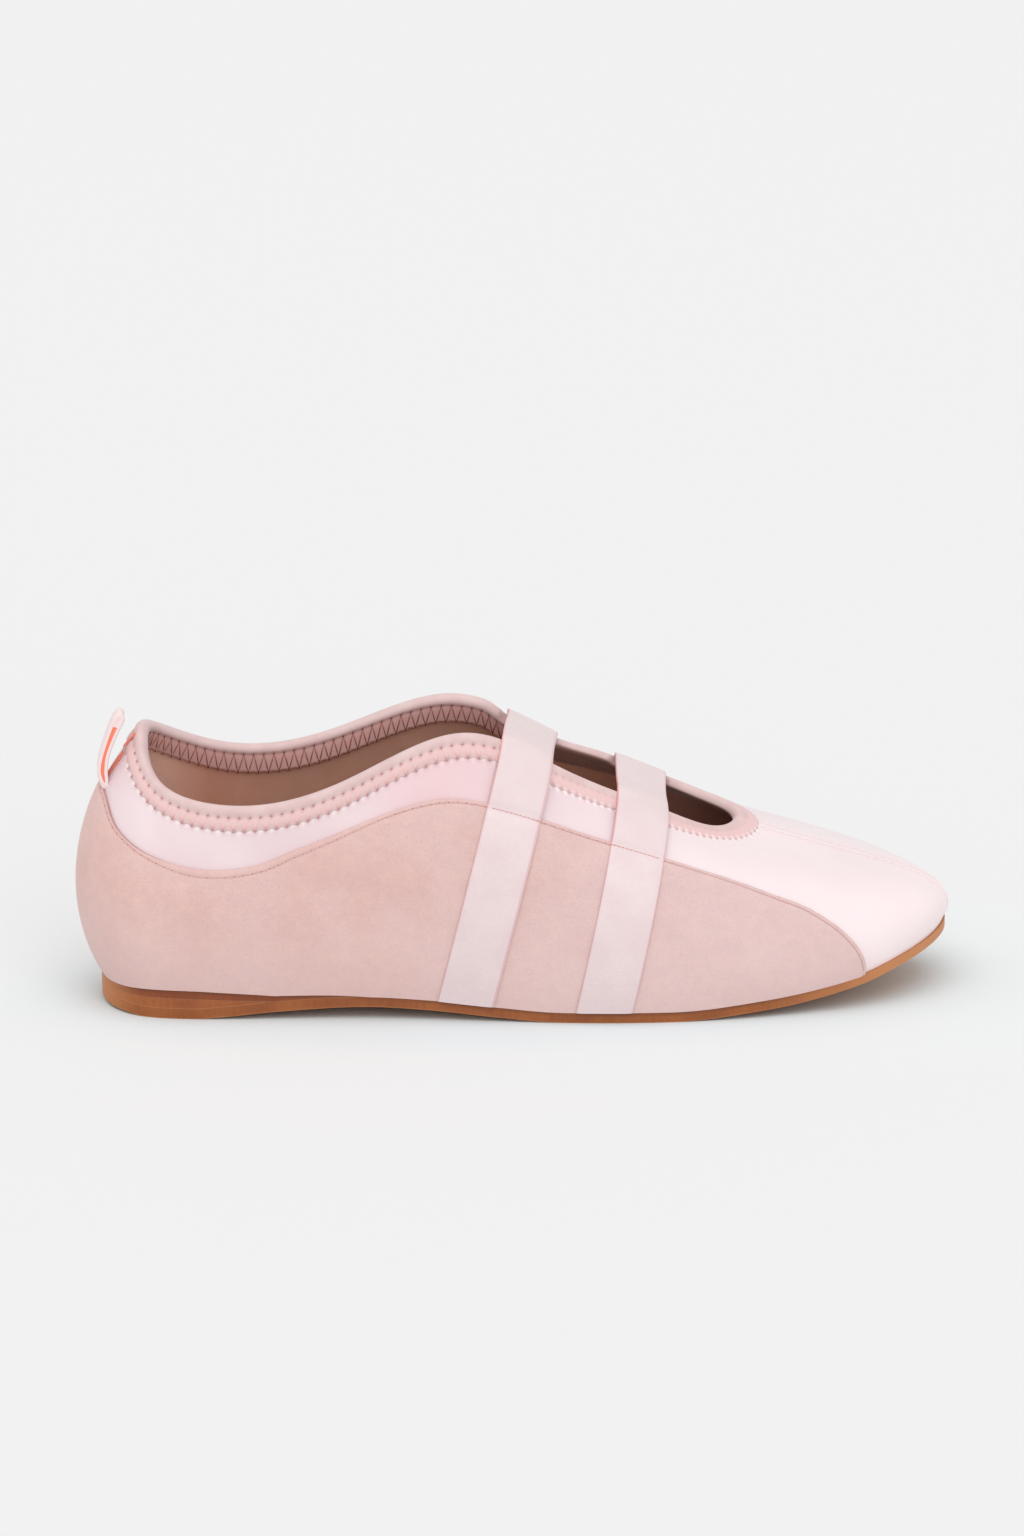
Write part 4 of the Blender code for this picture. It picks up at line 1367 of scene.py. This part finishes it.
def strap_line(strap, offset):
    """One line along a strap: up the lateral wall, over the throat and down the medial wall."""
    halves = []
    climbs = np.linspace(FOOT_CLIMB, 1, 60)
    for side in (-1, 1):
        turn = turn_on_band(climbs, side, offset, strap)
        half = shell(turn, climbs, strap_face(turn, climbs))
        over = by_topline(turn[-1], -STRAP_RIM if side < 0 else -STRAP_RIM_FAR, STRAP_FACE_TOP)
        halves.append(np.concatenate([half, over[None]]))
    near, far = halves
    start, end = near[-1], far[-1]
    rise = start + STRAP_SPRING * unit(near[-1] - near[-2])
    fall = end + STRAP_SPRING * unit(far[-1] - far[-2])
    bridge = bezier(start, rise, fall, end, np.linspace(0, 1, 40)[1:-1, None])
    path = np.concatenate([near, bridge, far[::-1]])
    path = evenly(path, lengths(path)[-1] / (STRAP_STATIONS + 0.5))
    slip = STRAP_SLIP[strap] * smooth_step(path[:, 1], -24 * MM, 24 * MM)
    path[:, 0] = softened(path[:, 0], STRAP_SOFT) + slip
    return path


# %% Strap elastic
def strap_finish():
    elastic = Finish("strap_pink", {"Sheen Weight": 0.2, "Specular IOR Level": 0.45})
    across, along = elastic.cloth()
    above = elastic.noted("above")
    edge = STRAP_WIDTH / 2
    middle = (across - edge).size()
    selvedge = middle.over(edge - 0.9 * MM, edge - 0.5 * MM)
    outer = middle.over(edge - 0.35 * MM, edge - 0.05 * MM)
    ribs = along.wave(0.55 * MM) * (1 - selvedge) * (1 - above * 0.8)
    cloud, grain = elastic.noise(9 * MM), elastic.noise(0.6 * MM)
    # A painted shadow line, coral-red, along each strap's rear edge above the stitches
    rear = (1 - across.over(0.1 * MM, 0.5 * MM)) * above
    elastic.paint(
        (0.725, 0.588, 0.592),
        (cloud.over(0.3, 0.7), (0.755, 0.628, 0.628)),
        (ribs * 0.05, (0.60, 0.44, 0.46)),
        (grain.over(0.4, 0.7) * 0.14, (0.60, 0.45, 0.50)),
        (above * 0.35, (0.700, 0.570, 0.572)),
        (selvedge * 0.2, (0.720, 0.520, 0.545)),
        (outer * 0.6, (0.62, 0.36, 0.38)),
        (rear * 0.6, (0.80, 0.33, 0.31)),
    )
    elastic.feed("Roughness", 0.42 + above * 0.15 + cloud * 0.1)
    elastic.bump(ribs * 0.25 + grain * 0.4, 0.07 * MM)
    return elastic.material


strap_pink = strap_finish()


def build_strap(name, node):
    offsets = np.linspace(-1, 1, STRAP_LINES + 1) * reach_of(node)
    lines = np.stack([strap_line(node, offset) for offset in offsets], axis=1)
    strap, across, up = cut(name, STRAP_LINES, len(lines) - 1)
    points = lines.reshape(-1, 3)
    lay(strap, points)
    outward = unit(np.cross(np.gradient(lines, axis=1), np.gradient(lines, axis=0))).reshape(-1, 3)
    distance, _ = distances(points, edge_seam_path)
    rounded = STRAP_ROUNDED * np.abs(2 * across - 1) ** 8
    caught = STRAP_CAUGHT * bump_at(np.maximum(distance - STRAP_CAUGHT_HALF, 0), 0.6 * MM)
    put_points(strap, points - outward * (rounded + caught)[:, None])
    station = np.round(np.minimum(up, 1 - up) * (len(lines) - 1))
    crossing = station[np.argmin(np.where(points[:, 1] < 0, distance, 1))]
    note(strap, above=smooth_step(station, crossing - 1.0, crossing + 1.0))
    thicken(strap, STRAP, -1)
    return finish_piece(strap, strap_pink, "strap_elastic", node, sharp=60)


# %% The row of stitches inside the suede's edge
def beside(path, normals, aside, out):
    """A path moved sideways over the surface, to its right seen from outside, and out from it."""
    ahead = unit(np.gradient(path, axis=0))
    return path + np.cross(ahead, normals) * np.asarray(aside)[..., None] + normals * out


outline_normals = wall_normal(outline_turn, outline_climb)
edge_seam_path = beside(outline, outline_normals, seam_margin(outline_turn), SUEDE_OUT)
for name in ("strap_rear", "strap_front"):
    build_strap("elastic_" + name, name)

EDGE_PITCH = 2.6 * MM
EDGE_GAP = 0.10  # the share of a stitch's length left open at either end
EDGE_ENDS = 2 * MM  # left unsewn at either end of the row
EDGE_SUNK = 0.12 * MM  # how deep the thread lies in the suede
EDGE_SUNK_STRAP = 0.28 * MM  # and how much deeper in a strap
EDGE_HOLE = 0.20 * MM
EDGE_HOLE_FRONT = 0.14 * MM  # towards the toe


def build_edge_seam():
    run = lengths(edge_seam_path)
    at = np.linspace(EDGE_ENDS, run[-1] - EDGE_ENDS, int(run[-1] / EDGE_PITCH) + 1)
    points, normals = taken_at(at, run, edge_seam_path), unit(taken_at(at, run, outline_normals))
    strapped = on_strap(points)
    out = strapped * (STRAP_FACE - SUEDE_OUT - EDGE_SUNK_STRAP) - EDGE_SUNK
    points = points + normals * out[:, None]
    thread = thread_finish("thread_mauve", (0.64, 0.41, 0.39), (0.68, 0.33, 0.29))
    low = (strapped[:-1], strapped[1:])
    sew("stitches_quarter", *between(points, normals, EDGE_GAP), THREAD, thread, low)
    hole = EDGE_HOLE + (EDGE_HOLE_FRONT - EDGE_HOLE) * smooth_step(points[:, 0], 20 * MM, 60 * MM)
    # The holes are painted dark as the shade in them
    pierce("holes_quarter", points, normals, hole, plain("hole_mauve", (0.38, 0.15, 0.14), 0.9))


build_edge_seam()

# %% [markdown]
# ## Sole
#
# The sole is smooth tan rubber that looks like leather: a thin outsole and two lifts that are skived
# to nothing under the arch. A slab could be cut from a block, but its outline is a line on the last
# and its faces follow the sole's heights, so a flat strip is wrapped round it instead: from the
# middle of the underside, out to the edge, up the rounded edge and back in over the top.

# %% Outlines of the sole
OUTLINE_TURNS = 1440
TOE_SKIVE = 0.55 * MM  # the outsole is skived this much thinner under the toe
TOE_SKIVE_RUN = (72 * MM, 108 * MM)
SOLE_ROUND = 0.07 * MM
LAYER_GAP = 0.02 * MM
BED_RISE = 0.22 * MM  # how far the layer that the upper rests on rises towards it
BED_RUN = (UPPER_LIFT_END - 10 * MM, UPPER_LIFT_END)  # where the outsole takes over from the lifts


def foot_outline(margin):
    """The plan of the feather edge moved out by a margin, as its lateral and its medial half, each
    from the heel to the toe."""
    turns = np.linspace(0, 1, OUTLINE_TURNS, endpoint=False)
    foot = wall(turns, 0)[:, :2]
    ahead = unit(np.roll(foot, -1, axis=0) - np.roll(foot, 1, axis=0))
    edge = foot + margin * np.stack([ahead[:, 1], -ahead[:, 0]], axis=1)
    edge = np.roll(edge, -int(np.argmin(edge[:, 0])), axis=0)
    toe = int(np.argmax(edge[:, 0]))
    return edge[: toe + 1], np.concatenate([edge[toe:], edge[:1]])[::-1]


# Each row of the wrap: how far in from the edge towards the middle line, how far in from the edge
# in radii, and how far up: in radii from the low face, or from the high face where negative. The
# rows between the corners give the coloured lines along the edges their width.
AT_TOP = -1e-9
WRAP_IN = (0.08, 0.33, 0.66, 1.00)
WRAP = (
    *((inner, 1.0, 0.0) for inner in WRAP_IN[::-1]),
    (0.0, 1.0, 0.0), (0.0, 0.5, 0.13), (0.0, 0.13, 0.5), (0.0, 0.0, 1.0), (0.0, 0.0, 3.0), (0.0, 0.0, 6.0),
    (0.0, 0.0, -20.0), (0.0, 0.0, -10.0), (0.0, 0.0, -1.0), (0.0, 0.13, -0.5), (0.0, 0.5, -0.13),
    (0.0, 1.0, AT_TOP),
    *((inner, 1.0, AT_TOP) for inner in WRAP_IN),
)
WRAP_LEAST = 27  # radii in the thinnest slab, so that the rows up its edge never cross
LEAST_EDGE = 0.002 * MM  # shorter ones are dissolved


def build_slab(name, margin, front, low_face, high_face, radius):
    """A plate under the foot with rounded edges, from the heel to a place along the shoe."""
    slab, across, up = cut(name, 361, len(WRAP) - 1)
    row = np.round(up * (len(WRAP) - 1))
    share = 1 - np.abs(2 * across - 1)
    points = np.zeros((len(across), 3))
    for k, (inner, inset, rise) in enumerate(WRAP):
        here = row == k
        lateral, medial = foot_outline(margin - inset * radius)
        back, toe = lateral[0, 0], lateral[-1, 0]
        if front > toe:
            x = back + (toe - back) * (1 - np.cos(np.pi * share[here])) / 2
        else:
            x = back + (front - back) * (1 - np.cos(np.pi / 2 * share[here]))
        near = np.interp(x, lateral[:, 0], lateral[:, 1])
        far = np.interp(x, medial[:, 0], medial[:, 1])
        y = np.where(across[here] < 0.5, near, far)
        y = y + ((near + far) / 2 - y) * inner
        low, high = low_face(x), high_face(x)
        z = (low if rise >= 0 else high) + rise * np.minimum(radius, (high - low) / WRAP_LEAST)
        points[here] = np.stack([x, y, z], axis=1)
    lay(slab, points)
    weld(slab)
    in_edit_mode(slab, lambda: bpy.ops.mesh.dissolve_degenerate(threshold=LEAST_EDGE))
    face_out(slab)
    return slab


# %% Sole rubber
def rubber_finish(name, low, high):
    """Tan rubber between two colours, darker under the upper, with a painted highlight along a layer's
    lower edge and painted light towards the toe.
    """
    rubber = Finish(name, {"Specular IOR Level": 0.4})
    cloud = rubber.noise(11 * MM, detail=3.0)
    upright = rubber.node("ShaderNodeMapping", {}, {"Vector": rubber.place(), "Scale": (1.0, 1.0, 0.25)})
    grain = rubber.noise(0.8 * MM, detail=3.0, roughness=0.6, at=upright)
    toe = rubber.forward(60 * MM, 118 * MM)
    dark = rubber.noted("top_edge") * (cloud.over(0.3, 0.6) * 0.5 + 0.3) * (1 - toe)
    rubber.paint(
        low,
        ((cloud * 0.6 + grain * 0.4).over(0.28, 0.74), high),
        (dark, tuple(0.5 * c for c in low)),
        # Painted light: lighter towards the toe, where the upturned edge lies in shade
        (toe * 0.75, (0.62, 0.27, 0.11)),
        (1 - rubber.forward(-124 * MM, -108 * MM), (0.56, 0.21, 0.065)),
        # Painted highlight along the lower edge
        (rubber.noted("low_edge") * 0.45, (0.62, 0.27, 0.10)),
    )
    rubber.feed("Roughness", 0.42 + cloud * 0.16)
    rubber.bump(grain + cloud * 2, 0.04 * MM)
    return rubber.material


HIGHLIGHT_LINE = 0.22 * MM  # how wide the painted highlight is along a layer's lower edge
HIGHLIGHT_LEAST = 0.3 * MM  # a thinner layer has none
DARK_UNDER = 1.5 * MM  # how far down from the upper the rubber is darker


def build_sole():
    layers = (
        ("sole_outsole", "outsole", LENGTH, None, 0, "outsole_rubber",
         rubber_finish("outsole_tan", (0.232, 0.060, 0.013), (0.335, 0.103, 0.024))),
        ("sole_lower_lift", "heel_lift_lower", LOWER_LIFT_END, 0, 1, "lower_lift_rubber",
         rubber_finish("lower_lift_tan", (0.250, 0.066, 0.016), (0.355, 0.108, 0.028))),
        ("sole_upper_lift", "heel_lift_upper", UPPER_LIFT_END, 1, 2, "upper_lift_rubber",
         rubber_finish("upper_lift_brown", (0.178, 0.040, 0.010), (0.250, 0.062, 0.016))),
    )
    for name, node, front, below, above, slot, material in layers:
        def low(x):
            if below is None:
                return sole_profile("underside", x) + TOE_SKIVE * smooth_step(x, *TOE_SKIVE_RUN)
            return layer_top(x, below) + LAYER_GAP

        def high(x):
            ahead = smooth_step(x, *BED_RUN)
            raised = BED_RISE * {0: ahead, 1: 0, 2: 1 - ahead}[above]
            return np.maximum(layer_top(x, above) + raised, low(x) + LAYER_GAP)

        slab = build_slab(name, SOLE_MARGIN, front, low, high, SOLE_ROUND)
        x, _, z = points_of(slab).T
        # A painted highlight along each layer's lower edge
        light = bump_at(z - low(x), HIGHLIGHT_LINE) * (high(x) - low(x) > HIGHLIGHT_LEAST)
        outermost = {0: smooth_step(x, *BED_RUN), 1: 0, 2: 1}[above]
        note(slab, low_edge=light, top_edge=smooth_step(z - high(x), -DARK_UNDER, 0) * outermost)
        finish_piece(slab, material, slot, node, sharp=70)


build_sole()

# %% The insole
INSOLE_MARGIN = -WALL - 0.35 * MM  # it lies just inside the lining
INSOLE_ROUND = 0.9 * MM
insole = build_slab("insole_sock", INSOLE_MARGIN, LENGTH, bed, lambda x: bed(x) + INSOLE, INSOLE_ROUND)
finish_piece(insole, lining_taupe, "lining", "insole")

# %% [markdown]
# ## Pull tab and heel tape
#
# A ribbon folded into a loop stands off the back seam. Its face is pale pink and its back is coral,
# and a coral tape covers the seam below the rim. The ribbon is a strip with a closed section of its own
# thickness, and the faces of its back take the second material.

# %% Ribbons
def ribbon_finish(name, color, light):
    ribbon = Finish(name, {"Roughness": 0.6, "Sheen Weight": 0.2})
    along, up = ribbon.cloth()
    weave = along.wave(0.5 * MM) * 0.7 + up.wave(0.4 * MM) * 0.3
    ribbon.paint(color, (weave * 0.6, light))
    ribbon.bump(weave, 0.012 * MM)
    return ribbon.material


ribbon_pink = ribbon_finish("ribbon_pink", (0.83, 0.65, 0.65), (0.89, 0.75, 0.74))
ribbon_coral = ribbon_finish("ribbon_coral", (0.86, 0.185, 0.100), (0.92, 0.270, 0.160))
# The ribbon's section in millimetres: across it, and out from its loop. Its edges are rolled in.
TAB_SECTION = (
    (-3.6, 0.30), (-1.8, 0.22), (0.0, 0.20), (1.8, 0.22), (3.6, 0.30), (4.0, 0.10), (4.1, -0.35),
    (4.05, -0.70), (3.95, -1.35), (3.3, -1.35), (2.9, -0.60), (1.5, -0.22), (0.0, -0.20), (-1.5, -0.22),
    (-2.9, -0.60), (-3.3, -1.35), (-3.95, -1.35), (-4.05, -0.70), (-4.1, -0.35), (-4.0, 0.10),
    (-3.6, 0.30),
)
CORAL_ROWS = range(7, 17)
CORAL_INNER = range(10, 14)  # those in the middle of the ribbon's back
CORAL_TOP = 81.0 * MM  # the lining of the loop shows at its edge up to here
TAB_TAIL_TOP = 68.0 * MM  # from here down to the next height
TAB_TAIL_FOOT = 65.0 * MM
TAB_TAIL = 3.2 * MM  # the ribbon is drawn down this far to where it is sewn in
TAB_CUPPED = 0.9 * MM  # and its sides are bent forward round the heel
TAB_FACING = 0.6 * MM  # two points of the loop face each other within this, along the ribbon
TAB_TURNED = 0.3 * MM  # and when they are further apart than this
TAB_TOUCH = 0.04 * MM  # the two sides may press this far into each other
TAB_LEAST = 0.22 * MM


def build_tab():
    columns, rows = 160, len(TAB_SECTION) - 1
    tab, across, up = cut("pull_tab_ribbon", columns, rows)
    loop = closed_spline(np.array(list(TAB_LOOP.values())) * MM)
    middle = loop(np.arange(columns) / columns)
    ahead = unit(np.roll(middle, -1, axis=0) - np.roll(middle, 1, axis=0))
    between = middle[None, :] - middle[:, None]
    along = np.einsum("ijk,ik->ij", between, ahead)
    inward = between[..., 0] * ahead[:, None, 1] - between[..., 1] * ahead[:, None, 0]
    facing = (np.abs(along) < TAB_FACING) & (inward > TAB_TURNED)
    room = np.maximum(np.where(facing, inward, 1).min(axis=1) / 2 + TAB_TOUCH, TAB_LEAST)
    x, z = loop(across).T
    ahead = unit(loop(across + NEAR_TURN) - loop(across - NEAR_TURN))
    aside, out = np.array(TAB_SECTION)[np.round(up * rows).astype(int)].T * MM
    out = np.maximum(out, -room[np.round(across * columns).astype(int) % columns])
    x, z = x - ahead[:, 1] * out, z + ahead[:, 0] * out
    tail = smooth_step(TAB_TAIL_TOP - z, 0, TAB_TAIL_TOP - TAB_TAIL_FOOT)
    x = x + TAB_CUPPED * tail * (aside / (TAB_WIDTH / 2)) ** 2
    lay(tab, np.stack([x, aside, z - TAB_TAIL * tail], axis=1))
    tab.data.materials.append(ribbon_pink)
    tab.data.materials.append(ribbon_coral)
    for face in tab.data.polygons:
        row = face.index // columns
        lined = row in CORAL_INNER or face.center.z < CORAL_TOP
        face.material_index = int(row in CORAL_ROWS and lined)
    weld(tab)
    face_out(tab)
    return finish_piece(tab, None, "tab_ribbon", "pull_tab")


build_tab()

# %% The heel tape
TAPE_FOOT = 17.5 * MM  # down from the topline, where the suede begins
TAPE_DOWN = (0.6 * MM, 6.5 * MM, 8.5 * MM, TAPE_FOOT)
TAPE_HALF = (0.45 * MM, 0.5 * MM, 1.3 * MM, 1.1 * MM)  # half its width at each of these
TAPE_OUT = 0.12 * MM
TAPE_OVER = 1.12 * MM  # and this much further out where it lies on the binding
TAPE = 0.18 * MM


def build_tape():
    tape, across, up = cut("heel_tape", 24, 60)
    down = TAPE_FOOT * (1 - up) + TAPE_DOWN[0] * up
    aside = (across * 2 - 1) * np.interp(down, TAPE_DOWN, TAPE_HALF)
    step = np.linalg.norm(by_topline(NEAR_TURN, down, 0) - by_topline(0, down, 0), axis=1)
    over = smooth_step(down, BAND_FOOT + 1.4 * MM, BAND_FOOT - 0.8 * MM)
    lay(tape, by_topline(-NEAR_TURN * aside / step, down, TAPE_OUT + over * TAPE_OVER))
    face_out(tape)
    thicken(tape, TAPE, 1)
    return finish_piece(tape, ribbon_coral, "tab_ribbon")


build_tape()
for model in (stitch_model, hole_model):
    bpy.data.objects.remove(model)

# %% [markdown]
# ## Stage
#
# The shoe stands on a plain pale floor under a large soft light from above and a weaker one from the
# front, with an even white sky for the rest. The camera looks at the lateral side from a little above
# and slightly towards the heel, through a long lens.

# %% Floor
def floor_finish():
    """White, with a trace of cool where the shoe throws its pink back."""
    floor = Finish("floor_white", {"Roughness": 0.9, "Specular IOR Level": 0.1})
    x, y = floor.axis(0), floor.axis(1)
    beyond = ((x / 0.165) ** 2 + (y / 0.075) ** 2).over(0.5, 2.4)
    beside = ((x / 0.140) ** 2 + (y / 0.060) ** 2).over(0.6, 1.3)
    floor.paint(
        (0.770, 0.770, 0.770),
        (1 - beyond, (0.760, 0.781, 0.782)),
        (1 - beside, (0.715, 0.770, 0.788)),
    )
    return floor.material


floor = add("floor", bpy.ops.mesh.primitive_plane_add, size=30, location=(0, 0, 0))
floor.data.materials.append(floor_finish())

# %% Light
def sun(name, strength, tilt, turn, spread):
    """A soft light from far off: tilt from straight above, turned round the upright axis."""
    rotation = (math.radians(tilt), 0, math.radians(turn))
    light = add(name, bpy.ops.object.light_add, type="SUN", rotation=rotation)
    light.data.energy = strength
    light.data.angle = math.radians(spread)


SKY = 0.72
sun("light_above", 1.15, 22, -12, 60)
sun("light_front", 0.62, 62, 8, 50)
world = bpy.data.worlds.new("sky")
bpy.context.scene.world = world
world.use_nodes = True
sky = world.node_tree.nodes["Background"].inputs
sky["Color"].default_value = (1.0, 1.0, 1.0, 1.0)
sky["Strength"].default_value = SKY
bpy.context.scene.view_settings.view_transform = "Standard"

# %% Camera
AZIMUTH = -5.0
ELEVATION = 14.5
DISTANCE = 1.35
LENS = 108.84
TARGET = Vector((-1 * MM, 0, 35.4 * MM))
TARGET_BELOW = 29.07 * MM  # how far below the view's middle the target is seen, at its distance
aim = Euler((math.radians(90 - ELEVATION), 0, math.radians(AZIMUTH)))
camera = add("camera", bpy.ops.object.camera_add, rotation=aim)
camera.location = TARGET + aim.to_matrix() @ Vector((0, TARGET_BELOW, DISTANCE))
camera.data.lens = LENS
camera.data.clip_end = 100
bpy.context.scene.camera = camera
print("camera at", [round(value / MM) for value in camera.location], "mm")
